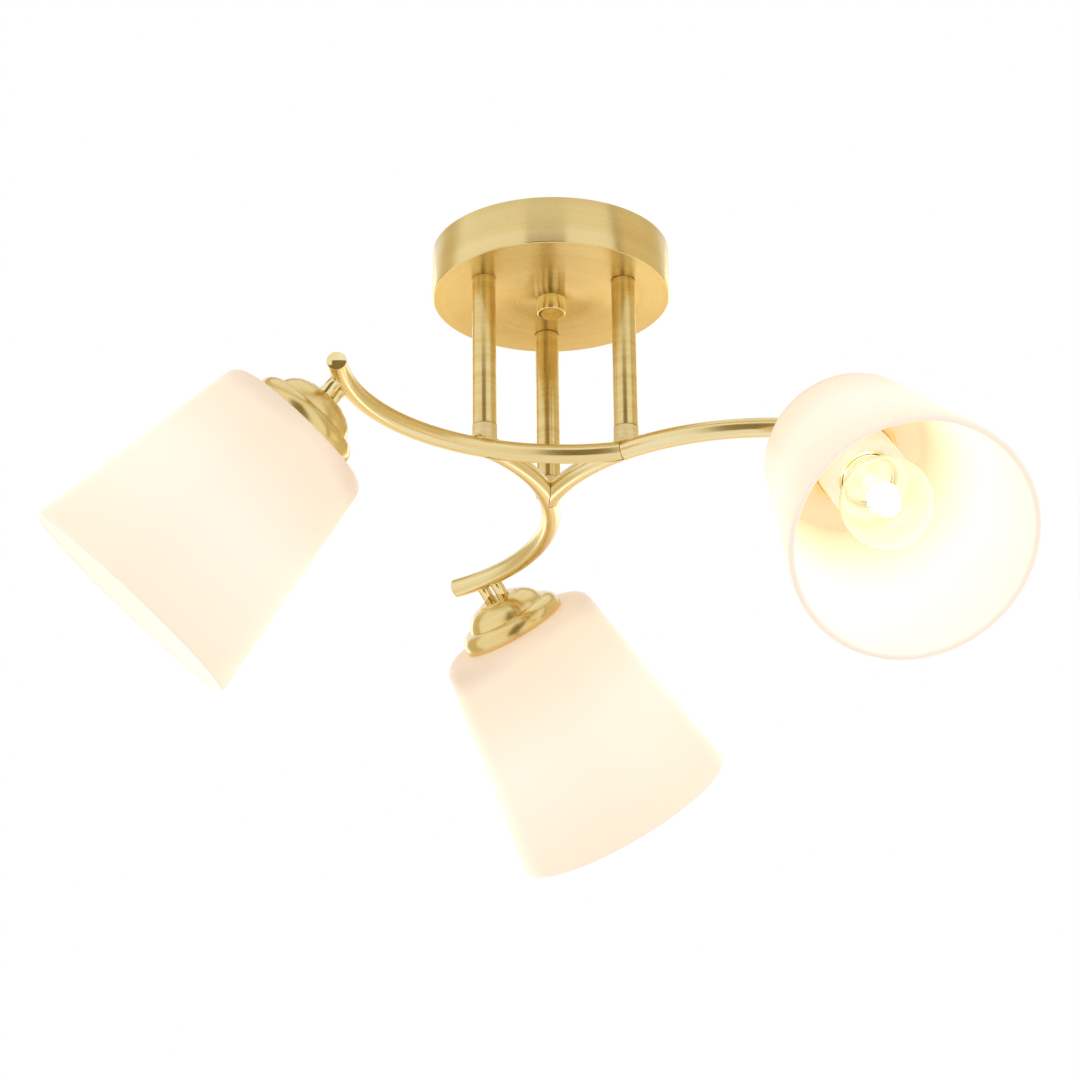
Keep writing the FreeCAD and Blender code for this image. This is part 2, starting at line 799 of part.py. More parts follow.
def make_screw_shell(head):
    wall = size("shell_wall")
    mean = half("thread_crest_diameter") + size("thread_depth") / 2
    low = socket_floor
    start = low + size("shell_thread_start")
    high = low + size("shell_length")
    flange = half("shell_flange_diameter")
    bend_radius = wave_radius()
    outer = mean + wall
    outline = [(flange, low), (outer, low), (outer, start)]
    outline += thread_wave(outer, start, True, bend_radius)
    end = start + size("thread_pitch") * int(SIZES["thread_turns"])
    outline += [(outer, high), (mean, high), (mean, end)]
    outline += thread_wave(mean, start, False, bend_radius)
    outline += [(mean, low + wall), (flange, low + wall)]
    keep(turned("shell_tube%d" % head, outline), "screw_shell_%d" % head, head_place(head))


def make_shade(head):
    mouth = half("shade_mouth_diameter")
    shoulder = half("shade_shoulder_diameter")
    wall = size("shade_wall")
    hole = half("shade_hole_diameter")
    top = shade_top
    rim = top + size("shade_height")
    outline = [(hole, top), (shoulder, top), (mouth, rim), (mouth - wall, rim),
               (shoulder - wall, top + wall), (hole, top + wall)]
    glass = turned("shade_glass%d" % head, outline)
    round_edge(glass, shoulder, top, size("shade_shoulder_radius"))
    round_edge(glass, shoulder - wall, top + wall, size("shade_shoulder_radius") - wall)
    round_edge(glass, mouth, rim, size("shade_lip_radius"))
    round_edge(glass, mouth - wall, rim, size("shade_lip_radius"))
    keep(glass, "shade_%d" % head, head_place(head))


def make_shade_ring(head):
    bore = half("holder_diameter") + size("thread_fit")
    washer_low = shade_top + size("shade_wall")
    washer_high = washer_low + size("ring_washer_thickness")
    washer = turned("ring_washer_disc%d" % head, ring(bore + size("thread_fit"), half("ring_flange_diameter"),
                                                      washer_low, washer_high))
    keep(washer, "ring_washer_%d" % head, head_place(head))
    low = washer_high + size("flat_gap")
    flange_high = low + size("ring_flange_thickness")
    high = low + size("ring_height")
    flange = half("ring_flange_diameter")
    collar = half("ring_collar_diameter")
    outline = [(bore, low), (flange, low), (flange, flange_high), (collar, flange_high), (collar, high),
               (bore, high)]
    keep(turned("shade_ring_body%d" % head, outline), "shade_ring_%d" % head, head_place(head))


# ---- bulbs ----------------------------------------------------------------------------


def make_bulb_contact(head):
    low = contact_plane
    tip = half("tip_diameter")
    bevel = size("tip_height") / 2
    edge = low + size("insulator_height")
    plug = half("insulator_diameter")
    outline = [(ZERO, low), (tip - bevel, low), (tip, low + bevel), (tip, low + size("tip_height")),
               (plug, edge), (plug, edge + size("insulator_plug")), (ZERO, edge + size("insulator_plug"))]
    keep(turned("bulb_foot%d" % head, outline), "bulb_contact_%d" % head, head_place(head))


def make_bulb_cap(head):
    mean = half("cap_crest_diameter") - size("thread_depth") / 2
    wall = size("cap_wall")
    edge = contact_plane + size("cap_edge_height")
    start = contact_plane + size("cap_thread_start")
    high = contact_plane + size("cap_length")
    lip = half("insulator_diameter") + size("flat_gap")
    bend_radius = wave_radius()
    turns = size("thread_pitch") * int(SIZES["thread_turns"])
    outline = [(lip, edge), (mean - wall * 2, edge), (mean, edge + wall * 2), (mean, start)]
    outline += thread_wave(mean, start, True, bend_radius)
    outline += [(mean, high), (mean - wall, high), (mean - wall, start + turns)]
    outline += thread_wave(mean - wall, start, False, bend_radius)
    outline += [(mean - wall, edge + wall * 2), (mean - wall * 2, edge + wall), (lip, edge + wall)]
    keep(turned("bulb_cap_tube%d" % head, outline), "bulb_cap_%d" % head, head_place(head))


def make_bulb_glass(head):
    ball = half("bulb_diameter")
    neck = half("bulb_neck_diameter")
    wall = size("bulb_glass_wall")
    neck_top = contact_plane + size("bulb_neck_height")
    base = contact_plane + size("cap_length") - size("bulb_neck_depth")
    rise = bulb_centre - neck_top
    # the neck flares on an arc that is tangent to the neck and to the ball
    flare = (neck * neck + rise * rise - ball * ball) / ((ball - neck) * 2)
    lean_r = (neck + flare) / (ball + flare)
    lean_z = rise / (ball + flare)
    inner = ball - wall
    outline = [(neck - wall, base), (neck, base), (neck, neck_top),
               (lean_r * ball, bulb_centre - lean_z * ball, flare * -1),
               (ZERO, bulb_centre + ball, ball), (ZERO, bulb_centre + inner),
               (lean_r * inner, bulb_centre - lean_z * inner, inner * -1),
               (neck - wall, neck_top, flare + wall)]
    keep(turned("bulb_ball%d" % head, outline), "bulb_glass_%d" % head, head_place(head))


def make_filament(head):
    base = contact_plane + size("cap_length") - size("bulb_neck_depth")
    disc = half("bulb_neck_diameter") - size("bulb_glass_wall") - size("thread_fit")
    stem = half("stem_diameter")
    top = base + size("stem_rise")
    outline = [(ZERO, base), (disc, base), (disc, base + size("stem_disc_thickness")),
               (stem, base + size("stem_disc_thickness") * 4), (stem, top), (ZERO, top)]
    parts = [turned("stem%d" % head, outline)]
    lean = math.degrees(math.asin((size("lead_spread") / 2 - stem / 2).value / size("lead_length").value))
    for side in (-1, 1):
        lead = cylinder("lead%d_%d" % (head, side + 1), size("lead_diameter"), size("lead_length"))
        turn = FreeCAD.Rotation(V(0, 1, 0), lean * side)
        lead.Placement = FreeCAD.Placement(V(stem.value / 2 * side, 0, top.value), turn)
        parts.append(lead)
    wire = doc.addObject("Part::Torus", "filament_wire%d" % head)
    bind(wire, "Radius1", half("lead_spread"))
    bind(wire, "Radius2", half("filament_diameter"))
    wire.Angle3 = 180
    rise = size("lead_length").value * math.cos(math.radians(lean))
    wire.Placement = FreeCAD.Placement(V(0, 0, top.value + rise), FreeCAD.Rotation(V(0, 0, 1), 0))
    parts.append(wire)
    keep(group("filament_set%d" % head, parts), "filament_%d" % head, head_place(head))


# ---- build ----------------------------------------------------------------------------

make_canopy()
make_bracket()
make_terminal_block()
make_canopy_nut()
make_rods()
arm_start = arm_start_angle()
make_collars(arm_start)
make_arms(arm_start)

domes = []
contacts = []
post_nuts = []
for head in HEADS:
    make_posts(head, arm_start)
    make_cup(head)
    domes.append(make_holder_dome(head))
    post_nuts += make_holder_nuts(head)
    make_lampholder(head)
    contacts.append(make_contact(head))
    make_screw_shell(head)
    make_shade(head)
    make_shade_ring(head)
    make_bulb_contact(head)
    make_bulb_cap(head)
    make_bulb_glass(head)
    make_filament(head)
keep(group("holder_domes", domes), "holder_domes")
keep(group("post_nuts", post_nuts), "post_nuts")
keep(group("holder_contacts", contacts), "holder_contacts")

doc.recompute()

for item in doc.Objects:
    if "Invalid" in item.State or "Error" in item.State:
        raise RuntimeError("%s failed: %s" % (item.Name, item.State))
for item in NODES:
    if item.Shape.isNull() or not item.Shape.isValid() or not item.Shape.Solids:
        raise RuntimeError("%s has no valid solid" % item.Label)
for item in NODES:
    item.Shape.exportStep("parts/%s.step" % item.Label)
print(len(NODES), "nodes,", sum(len(item.Shape.Solids) for item in NODES), "solids")
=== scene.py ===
import bmesh
import bpy
import json
import math
from mathutils import Matrix, Vector


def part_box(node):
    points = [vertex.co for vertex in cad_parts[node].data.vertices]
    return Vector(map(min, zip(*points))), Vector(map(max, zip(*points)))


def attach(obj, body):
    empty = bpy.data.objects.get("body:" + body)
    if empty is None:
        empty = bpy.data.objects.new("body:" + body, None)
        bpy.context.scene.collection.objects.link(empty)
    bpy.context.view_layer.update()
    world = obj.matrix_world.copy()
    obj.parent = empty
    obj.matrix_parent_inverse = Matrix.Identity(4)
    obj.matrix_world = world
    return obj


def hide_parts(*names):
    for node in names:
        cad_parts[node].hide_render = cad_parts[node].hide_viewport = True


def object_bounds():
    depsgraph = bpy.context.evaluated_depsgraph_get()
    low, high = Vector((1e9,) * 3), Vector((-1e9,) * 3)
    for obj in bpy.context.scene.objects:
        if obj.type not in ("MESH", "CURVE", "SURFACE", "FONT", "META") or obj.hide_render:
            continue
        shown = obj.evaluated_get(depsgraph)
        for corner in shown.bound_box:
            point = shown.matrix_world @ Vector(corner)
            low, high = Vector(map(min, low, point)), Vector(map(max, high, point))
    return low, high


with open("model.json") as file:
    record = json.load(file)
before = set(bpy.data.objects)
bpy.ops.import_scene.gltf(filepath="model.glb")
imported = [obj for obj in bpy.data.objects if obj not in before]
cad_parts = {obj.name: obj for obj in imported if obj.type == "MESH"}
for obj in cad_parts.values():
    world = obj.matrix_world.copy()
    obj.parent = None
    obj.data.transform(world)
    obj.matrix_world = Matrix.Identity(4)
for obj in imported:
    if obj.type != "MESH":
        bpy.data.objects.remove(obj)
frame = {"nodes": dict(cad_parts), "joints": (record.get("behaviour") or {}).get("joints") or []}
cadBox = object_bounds()
cadMiddle = (cadBox[0] + cadBox[1]) / 2
mm = 0.001
heads = (1, 2, 3)
nextHead = {1: 2, 2: 3, 3: 1}  # the arm that starts on each arm
carrierOf = {after: before for before, after in nextHead.items()}
jointOf = {joint["name"]: joint for joint in frame["joints"]}
print("frame loaded:", len(frame["nodes"]), "nodes")


# ---- places taken from the frame ----

ballHeight = 100.0  # from the middle of the arm's tube to the middle of the bulb, mm


def headPlace(number):  # Z along the shade, X along the arm's tube, origin in the middle of the tube
    turn = jointOf["bulb_%d_turn" % number]
    axis = Vector(turn["axis"])
    along = Vector((0, 0, 1)).cross(axis).normalized()
    side = axis.cross(along)
    place = Matrix((along, side, axis)).transposed().to_4x4()
    place.translation = Vector(turn["pos_m"]) - axis * ballHeight * mm
    return place


def rodAxis(number):  # the point of the rod's middle line on the ceiling plane
    low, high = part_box("rod_%d" % number)
    return Vector(((low.x + high.x) / 2, (low.y + high.y) / 2, 0))


def hanging(point=Vector((0, 0, 0))):  # Z counts downwards from the ceiling
    return Matrix.Translation(point) @ Matrix.Rotation(math.pi, 4, "X")


def depthOf(node):  # nearest and furthest depth of a node below the ceiling, mm
    low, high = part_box(node)
    return -high.z / mm, -low.z / mm


# ---- outlines and turned shapes ----

meshRules = {
    "arcStep": 6.0,  # degrees from point to point of a rounded corner
    "softAngle": 25,  # edges sharper than this are rounded, degrees
    "sharpAngle": 35,  # edges sharper than this are shaded as edges, degrees
    "merge": 1e-4,
    "beadMerge": 1e-5,
    "drift": 0.02,  # how fast the grain changes along a streak
    "flatNormal": 0.7,  # a face counts as flat when its normal's height is over this
    "turnedStretch": 10,
    "straightStretch": 5,
}


def arcPoints(start, end, radius):  # bulges to the right of the way when positive
    chord = end - start
    side = Vector((chord.y, -chord.x)).normalized()
    rise = math.sqrt(max(radius ** 2 - (chord.length / 2) ** 2, 0.0))
    centre = (start + end) / 2 - side * math.copysign(rise, radius)
    first = math.atan2(start.y - centre.y, start.x - centre.x)
    sweep = 2 * math.asin(min(chord.length / 2 / abs(radius), 1.0)) * math.copysign(1, radius)
    count = max(2, math.ceil(abs(math.degrees(sweep)) / meshRules["arcStep"]))
    turns = [first + sweep * i / count for i in range(1, count)]
    return [centre + Vector((math.cos(t), math.sin(t))) * abs(radius) for t in turns]


def outlinePoints(corners):
    points = []
    for i, corner in enumerate(corners):
        end = Vector(corner[:2])
        if len(corner) == 3:
            points += arcPoints(Vector(corners[i - 1][:2]), end, corner[2])
        points.append(end)
    return points


def addLine(bm, points):
    verts = [bm.verts.new((p.x, 0, p.y)) for p in points]
    return verts, [bm.edges.new(pair) for pair in zip(verts, verts[1:])]


def closeMesh(bm, merge=meshRules["merge"]):
    bmesh.ops.remove_doubles(bm, verts=bm.verts, dist=merge)
    bmesh.ops.recalc_face_normals(bm, faces=bm.faces)


def spinLine(bm, geom, segments):
    bmesh.ops.spin(bm, geom=geom, axis=(0, 0, 1), angle=math.tau, steps=segments, use_merge=True)
    closeMesh(bm)


def lathe(corners, segments=96, soft=0.0, softSteps=2):  # corners are (radius, height) in mm
    bm = bmesh.new()
    points = outlinePoints(corners)
    verts, edges = addLine(bm, points)
    if points[0].x > 0 or points[-1].x > 0:
        edges.append(bm.edges.new((verts[-1], verts[0])))
    spinLine(bm, verts + edges, segments)
    if soft:
        angle = math.radians(meshRules["softAngle"])
        sharp = [e for e in bm.edges if e.is_manifold and e.calc_face_angle(0) > angle]
        bmesh.ops.bevel(bm, geom=sharp, offset=soft, segments=softSteps, profile=0.5, affect="EDGES",
                        clamp_overlap=True, material=-1)
    return bm


def layTurnedGrain(bm):  # rings round Z: the brushing runs round the piece, U crosses it
    grain = bm.verts.layers.float_vector.new("grain")
    for v in bm.verts:
        v[grain] = Vector((v.co.xy.length, v.co.z, (v.co.x + v.co.y) * meshRules["drift"]))
    uv = bm.loops.layers.uv.new("brushing")
    for face in bm.faces:
        middle = face.calc_center_median()
        ahead = math.atan2(middle.y, middle.x)
        flat = abs(face.normal.z) > meshRules["flatNormal"]
        for loop in face.loops:
            co = loop.vert.co
            turn = math.atan2(co.y, co.x) - ahead if co.xy.length > meshRules["merge"] else 0.0
            turn = (turn + math.pi) % math.tau - math.pi
            across = co.xy.length if flat else co.z
            loop[uv].uv = (across, (ahead + turn) * meshRules["turnedStretch"])


def layStraightGrain(bm, along):  # streaks that follow the piece, along gives (length, across, across)
    grain = bm.verts.layers.float_vector.new("grain")
    for v in bm.verts:
        length, a, b = along(v.co)
        v[grain] = Vector((a, b, length * meshRules["drift"]))
    uv = bm.loops.layers.uv.new("brushing")
    for face in bm.faces:
        _, a, b = along(face.calc_center_median())
        ahead = math.atan2(b, a)
        for loop in face.loops:
            length, a, b = along(loop.vert.co)
            turn = (math.atan2(b, a) - ahead + math.pi) % math.tau - math.pi
            loop[uv].uv = (length, (ahead + turn) * meshRules["straightStretch"])


def placeMesh(bm, name):
    mesh = bpy.data.meshes.new(name)
    bm.to_mesh(mesh)
    bm.free()
    piece = bpy.data.objects.new(name, mesh)
    bpy.context.scene.collection.objects.link(piece)
    return piece


def makePiece(bm, name, body, material, place=None, replaces=()):
    bmesh.ops.scale(bm, vec=(mm, mm, mm), verts=bm.verts)
    if place is not None:
        bmesh.ops.transform(bm, matrix=place, verts=bm.verts)
    piece = placeMesh(bm, name)
    mesh = piece.data
    mesh.polygons.foreach_set("use_smooth", [True] * len(mesh.polygons))
    mesh.set_sharp_from_angle(angle=math.radians(meshRules["sharpAngle"]))
    mesh.materials.append(materials[material])
    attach(piece, body)
    if replaces:
        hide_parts(*replaces)


def turnPiece(corners, name, body, material, slot, place, replaces, **turning):
    bm = lathe(corners, **turning)
    layTurnedGrain(bm)
    makePiece(bm, name, body, material, place, replaces)


def joinInto(bm, other):  # adds another bmesh to this one
    mesh = bpy.data.meshes.new("part")
    other.to_mesh(mesh)
    other.free()
    bm.from_mesh(mesh)
    bpy.data.meshes.remove(mesh)


def tubeAlong(points, radii, sides=10, closed=False):  # a round bead or wire along points, all in mm
    curve = bpy.data.curves.new("path", "CURVE")
    curve.dimensions = "3D"
    curve.bevel_depth = 1.0
    curve.bevel_resolution = max(1, sides // 4)
    curve.use_fill_caps = True
    line = curve.splines.new("POLY")
    line.points.add(len(points) - 1)
    for spot, point, radius in zip(line.points, points, radii):
        spot.co = (*point, 1)
        spot.radius = radius
    line.use_cyclic_u = closed
    holder = bpy.data.objects.new("path", curve)
    bpy.context.scene.collection.objects.link(holder)
    bpy.context.view_layer.update()
    mesh = bpy.data.meshes.new_from_object(holder.evaluated_get(bpy.context.evaluated_depsgraph_get()))
    bm = bmesh.new()
    bm.from_mesh(mesh)
    closeMesh(bm, meshRules["beadMerge"])
    bpy.data.objects.remove(holder)
    bpy.data.curves.remove(curve)
    bpy.data.meshes.remove(mesh)
    return bm


def unevenBead(size, turn, shift, lobes=3, share=0.2):  # radius of a melted bead, never quite even
    return size * (1 + share * math.sin(turn * lobes + shift))


# ---- shader nodes and node groups ----


def feed(tree, socket, value):  # value is another socket, a colour or a number
    if isinstance(value, bpy.types.NodeSocket):
        tree.links.new(value, socket)
    else:
        socket.default_value = (*value, 1) if isinstance(value, tuple) else value


def addNode(tree, kind, inputs=None, **settings):
    node = tree.nodes.new(kind)
    for name, value in settings.items():
        setattr(node, name, value)
    for label, value in (inputs or {}).items():
        feed(tree, node.inputs[label], value)
    return node


def mapValue(tree, source, low, high, start=0.0, end=1.0):  # start to end of the source become low to high
    inputs = {"Value": source, "From Min": start, "From Max": end, "To Min": low, "To Max": high}
    return addNode(tree, "ShaderNodeMapRange", inputs).outputs["Result"]


def calculate(tree, operation, first, second):
    return addNode(tree, "ShaderNodeMath", {0: first, 1: second}, operation=operation).outputs["Value"]


def addNoise(tree, vector, scale, **values):
    inputs = {"Vector": vector, "Scale": scale, **values}
    return addNode(tree, "ShaderNodeTexNoise", inputs).outputs["Fac"]


def mixColors(tree, factor, low, high):
    inputs = {"Factor": factor, "A": low, "B": high}
    return addNode(tree, "ShaderNodeMix", inputs, data_type="RGBA").outputs["Result"]


def newGroup(name, inputs, outputs):
    group = bpy.data.node_groups.new(name, "ShaderNodeTree")
    group.interface.new_socket("Vector", in_out="INPUT", socket_type="NodeSocketVector")
    for label, value in inputs.items():
        socket = group.interface.new_socket(label, in_out="INPUT", socket_type="NodeSocketFloat")
        socket.default_value = value
    for label in outputs:
        group.interface.new_socket(label, in_out="OUTPUT", socket_type="NodeSocketFloat")
    return group, addNode(group, "NodeGroupInput").outputs, addNode(group, "NodeGroupOutput").inputs


def makeBrushing():  # fine lines and soft bands of brushed metal, as masks from 0 to 1
    group, given, out = newGroup("brushing", {"Line Scale": 3.0, "Band Scale": 0.35}, ["Lines", "Bands"])
    for label, scaleName, detail in (("Lines", "Line Scale", 4.0), ("Bands", "Band Scale", 2.0)):
        noise = addNoise(group, given["Vector"], given[scaleName], Detail=detail, Roughness=0.65)
        feed(group, out[label], mapValue(group, noise, 0.0, 1.0, 0.3, 0.7))
    return group


def makeHandling():  # faint cloudy marks left by lacquer and fingers
    group, given, out = newGroup("handling", {"Scale": 30.0}, ["Marks"])
    noise = addNoise(group, given["Vector"], given["Scale"], Detail=3.0, Distortion=0.6)
    feed(group, out["Marks"], mapValue(group, noise, 0.0, 1.0, 0.42, 0.68))
    return group


groups = {"brushing": makeBrushing(), "handling": makeHandling()}


# ---- materials ----


def newMaterial(name, color, **sockets):
    material = bpy.data.materials.new(name)
    material.use_nodes = True
    tree = material.node_tree
    shader = tree.nodes["Principled BSDF"]
    for label, value in {"Base_Color": color, **sockets}.items():
        feed(tree, shader.inputs[label.replace("_", " ")], value)
    material.diffuse_color = (*color, 1)
    return material, tree, shader.inputs


def placeGroup(tree, name, inputs):
    return addNode(tree, "ShaderNodeGroup", inputs, node_tree=groups[name]).outputs


def grainVector(tree):
    return addNode(tree, "ShaderNodeAttribute", attribute_name="grain").outputs["Vector"]


def objectVector(tree):
    return addNode(tree, "ShaderNodeTexCoord").outputs["Object"]


def bumpFrom(tree, height, strength, distance):
    inputs = {"Strength": strength, "Distance": distance, "Height": height}
    return addNode(tree, "ShaderNodeBump", inputs).outputs["Normal"]


def makeBrushedMetal(name, dark, light, rough, lineScale, bandScale, anisotropy, bump):
    material, tree, into = newMaterial(name, light, Metallic=1.0, Anisotropic=anisotropy)
    scales = {"Line Scale": lineScale, "Band Scale": bandScale}
    brush = placeGroup(tree, "brushing", {"Vector": grainVector(tree), **scales})
    marks = placeGroup(tree, "handling", {"Vector": objectVector(tree)})
    feed(tree, into["Base Color"], mixColors(tree, brush["Bands"], dark, light))
    lines = mapValue(tree, brush["Lines"], *rough)
    smears = mapValue(tree, marks["Marks"], 0.0, 0.03)
    feed(tree, into["Roughness"], calculate(tree, "ADD", lines, smears))
    if anisotropy:
        tangent = addNode(tree, "ShaderNodeTangent", direction_type="UV_MAP", uv_map="brushing")
        feed(tree, into["Tangent"], tangent.outputs["Tangent"])
    feed(tree, into["Normal"], bumpFrom(tree, brush["Lines"], bump, 0.00002))
    return material


def makePlainMetal(name, dark, light, rough):
    material, tree, into = newMaterial(name, light, Metallic=1.0)
    marks = placeGroup(tree, "handling", {"Vector": objectVector(tree), "Scale": 60.0})
    feed(tree, into["Base Color"], mixColors(tree, marks["Marks"], dark, light))
    feed(tree, into["Roughness"], mapValue(tree, marks["Marks"], *rough))
    return material


def makePlastic(name, color, rough, grainScale):
    material, tree, into = newMaterial(name, color, Roughness=rough)
    noise = addNoise(tree, objectVector(tree), grainScale)
    feed(tree, into["Normal"], bumpFrom(tree, noise, 0.1, 0.00005))
    feed(tree, into["Roughness"], mapValue(tree, noise, rough - 0.05, rough + 0.08))
    return material


opalGlow = {  # painted glow: emission colours along the shade stand in for the bulb's light through the opal glass, with painted shade at the top under the cup; heights from the middle of the tube, mm
    "top": 31.0, "shoulder": 46.0, "hot": 92.0, "mouth": 148.5,
    "topShadedGlow": (0.66, 0.42, 0.22),
    "shoulderColor": (0.96, 0.73, 0.46),
    "hotColor": (1.0, 0.90, 0.69),
    "mouthColor": (0.98, 0.79, 0.54),
    "strength": 0.58, "cloud": 0.1, "cloudScale": 14.0,
    "glass": (0.88, 0.82, 0.76),
    # painted light: the inside gets its own base colour, bluer than the glass outside, to hold down the
    # yellow of the light bouncing inside the shade
    "innerColor": (0.87, 0.825, 0.86),
    "innerTopColor": (0.80, 0.63, 0.55),  # the inside round the lampholder, in its shadow
    "shadowFull": 0.08, "shadowEnd": 0.55,  # shares of the height
}


def makeOpalGlass(name):
    s = opalGlow
    material, tree, into = newMaterial(name, s["glass"], Roughness=0.42, Specular_IOR_Level=0.3,
                                       Emission_Strength=s["strength"])
    split = addNode(tree, "ShaderNodeSeparateXYZ", {"Vector": grainVector(tree)})
    height = mapValue(tree, split.outputs["Y"], 0.0, 1.0, s["top"], s["mouth"])
    shadow = mapValue(tree, height, 0.0, 1.0, s["shadowEnd"], s["shadowFull"])
    # painted shadow: the inside turns darker and peach towards the lampholder
    insideShade = mixColors(tree, shadow, s["innerColor"], s["innerTopColor"])
    inner = addNode(tree, "ShaderNodeAttribute", attribute_name="inner").outputs["Fac"]
    feed(tree, into["Base Color"], mixColors(tree, inner, s["glass"], insideShade))
    # painted glow: the emission ramp along the shade, drifted by a faint cloud, stands in for the bulb's
    # light through the glass
    cloud = addNoise(tree, objectVector(tree), s["cloudScale"], Detail=1.0)
    drift = calculate(tree, "ADD", height, mapValue(tree, cloud, -s["cloud"], s["cloud"]))
    ramp = addNode(tree, "ShaderNodeValToRGB", {"Fac": drift})
    stops = ramp.color_ramp.elements
    stops[0].color = (*s["topShadedGlow"], 1)
    stops[1].color = (*s["mouthColor"], 1)
    for zone in ("shoulder", "hot"):
        share = (s[zone] - s["top"]) / (s["mouth"] - s["top"])
        stops.new(share).color = (*s[zone + "Color"], 1)
    ramp.color_ramp.interpolation = "EASE"
    feed(tree, into["Emission Color"], ramp.outputs["Color"])
    return material


def makeClearGlass(name, glow):  # glow is the veil that the burning filament lays on the glass
    material, tree, into = newMaterial(
        name, (1.0, 0.99, 0.96), Roughness=0.01, IOR=1.45, Transmission_Weight=1.0,
        Emission_Color=(1.0, 0.86, 0.50), Emission_Strength=glow)
    noise = addNoise(tree, objectVector(tree), 55.0)
    feed(tree, into["Normal"], bumpFrom(tree, noise, 0.12, 0.0004))
    return material


def makeGlow(name, strength, patternScale):
    material, tree, into = newMaterial(name, (1.0, 0.9, 0.7), Emission_Strength=strength)
    noise = addNoise(tree, objectVector(tree), patternScale)
    feed(tree, into["Emission Color"], mixColors(tree, noise, (1.0, 0.78, 0.45), (1.0, 0.95, 0.80)))
    return material


tones = {  # linear colours of the metals
    "dark": (0.78, 0.60, 0.25), "light": (0.85, 0.68, 0.33),
    # seam is painted shade: the dark of the joint lines
    "deep": (0.73, 0.53, 0.19), "pale": (0.91, 0.78, 0.47), "seam": (0.16, 0.09, 0.03),
    "nickelDark": (0.60, 0.58, 0.54), "nickelLight": (0.76, 0.74, 0.70),
    "zincDark": (0.50, 0.51, 0.52), "zincLight": (0.68, 0.69, 0.70),
    "tinDark": (0.55, 0.55, 0.54), "tinLight": (0.74, 0.74, 0.72),
}
brushedMetals = {  # two tones, roughness, scale of the lines and of the bands, anisotropy, bump
    "canopyBrass": ("dark", "light", (0.22, 0.28), 6.0, 0.12, 0.9, 0.04),
    "rodBrass": ("deep", "light", (0.24, 0.32), 7.0, 0.15, 0.6, 0.06),
    "armBrass": ("dark", "pale", (0.18, 0.25), 3.0, 0.30, 0.5, 0.05),
    "cupBrass": ("dark", "light", (0.20, 0.26), 5.0, 0.15, 0.8, 0.04),
    "collarBrass": ("light", "pale", (0.44, 0.54), 5.0, 0.60, 0.0, 0.15),
    "ringBrass": ("deep", "light", (0.14, 0.24), 3.0, 0.4, 0.3, 0.15),
}
plainMetals = {  # two tones and roughness
    "polishedBrass": ("light", "pale", (0.05, 0.09)),
    "brazeBrass": ("light", "pale", (0.05, 0.12)),
    # painted shade for the joint lines
    "seamShadeBrass": ("seam", "deep", (0.40, 0.60)),
    "shellBrass": ("deep", "light", (0.12, 0.22)),
    "nickel": ("nickelDark", "nickelLight", (0.16, 0.28)),
    "zincSteel": ("zincDark", "zincLight", (0.28, 0.42)),
    "tin": ("tinDark", "tinLight", (0.22, 0.40)),
}
otherMaterials = {  # maker and its values
    "whitePlastic": (makePlastic, (0.90, 0.87, 0.80), 0.32, 900.0),
    "blockPlastic": (makePlastic, (0.80, 0.79, 0.74), 0.48, 700.0),
    "blackVitrite": (makePlastic, (0.015, 0.015, 0.018), 0.15, 400.0),
    "opalGlass": (makeOpalGlass,),
    "clearGlass": (makeClearGlass, 0.06),
    "stemGlass": (makeClearGlass, 0.45),
    "glowWire": (makeGlow, 14.0, 900.0),
    # painted glow of the flare round the coil
    "paintedFlare": (makeGlow, 3.2, 200.0),
}
materials = {}
for maker, table in ((makeBrushedMetal, brushedMetals), (makePlainMetal, plainMetals)):
    for name, (dark, light, *values) in table.items():
        materials[name] = maker(name, tones[dark], tones[light], *values)
for name, (maker, *values) in otherMaterials.items():
    materials[name] = maker(name, *values)
print("materials:", len(materials))


# ---- canopy and its nut ----

canopySizes = {"radius": 60.0, "wall": 1.2, "edge": 0.8, "hole": 4.4, "soft": 0.12, "segments": 192}
nutSizes = {
    "radius": 7.2, "bore": 4.05, "boreDepth": 6.4, "chamfer": 0.35, "lip": 0.45, "dish": 0.7,
    "dishRadius": 32.0, "soft": 0.15, "washerBore": 4.45, "washerRadius": 6.5, "washerSoft": 0.1,
}


def makeCanopy():
    s = canopySizes
    top, bottom = depthOf("canopy")
    radius, edge, hole = s["radius"], s["edge"], s["hole"]
    inner = radius - s["wall"]
    floor = bottom - s["wall"]
    corners = [(hole, floor), (inner - edge, floor), (inner, floor - edge, edge), (inner, top), (radius, top),
               (radius, bottom - edge), (radius - edge, bottom, edge), (hole, bottom)]
    turnPiece(corners, "canopyShell", "fixture", "canopyBrass", "brushed_brass", hanging(), ["canopy"],
              segments=s["segments"], soft=s["soft"])


def makeCanopyNut():
    s = nutSizes
    top, bottom = depthOf("canopy_nut")
    radius, bore, chamfer = s["radius"], s["bore"], s["chamfer"]
    corners = [(0, top + s["boreDepth"]), (bore, top + s["boreDepth"]), (bore, top), (radius, top),
               (radius, bottom - chamfer), (radius - chamfer, bottom), (radius - chamfer - s["lip"], bottom),
               (0, bottom - s["dish"], -s["dishRadius"])]
    turnPiece(corners, "canopyNut", "canopy_nut", "polishedBrass", "polished_brass", hanging(),
              ["canopy_nut"], soft=s["soft"])
    top, bottom = depthOf("canopy_nut_washer")
    bore, radius = s["washerBore"], s["washerRadius"]
    turnPiece([(bore, top), (radius, top), (radius, bottom), (bore, bottom)], "nutWasher", "fixture",
              "polishedBrass", "polished_brass", hanging(), ["canopy_nut_washer"],
              segments=64, soft=s["washerSoft"])


makeCanopy()
makeCanopyNut()
print("canopy made")


# ---- rods and collars ----

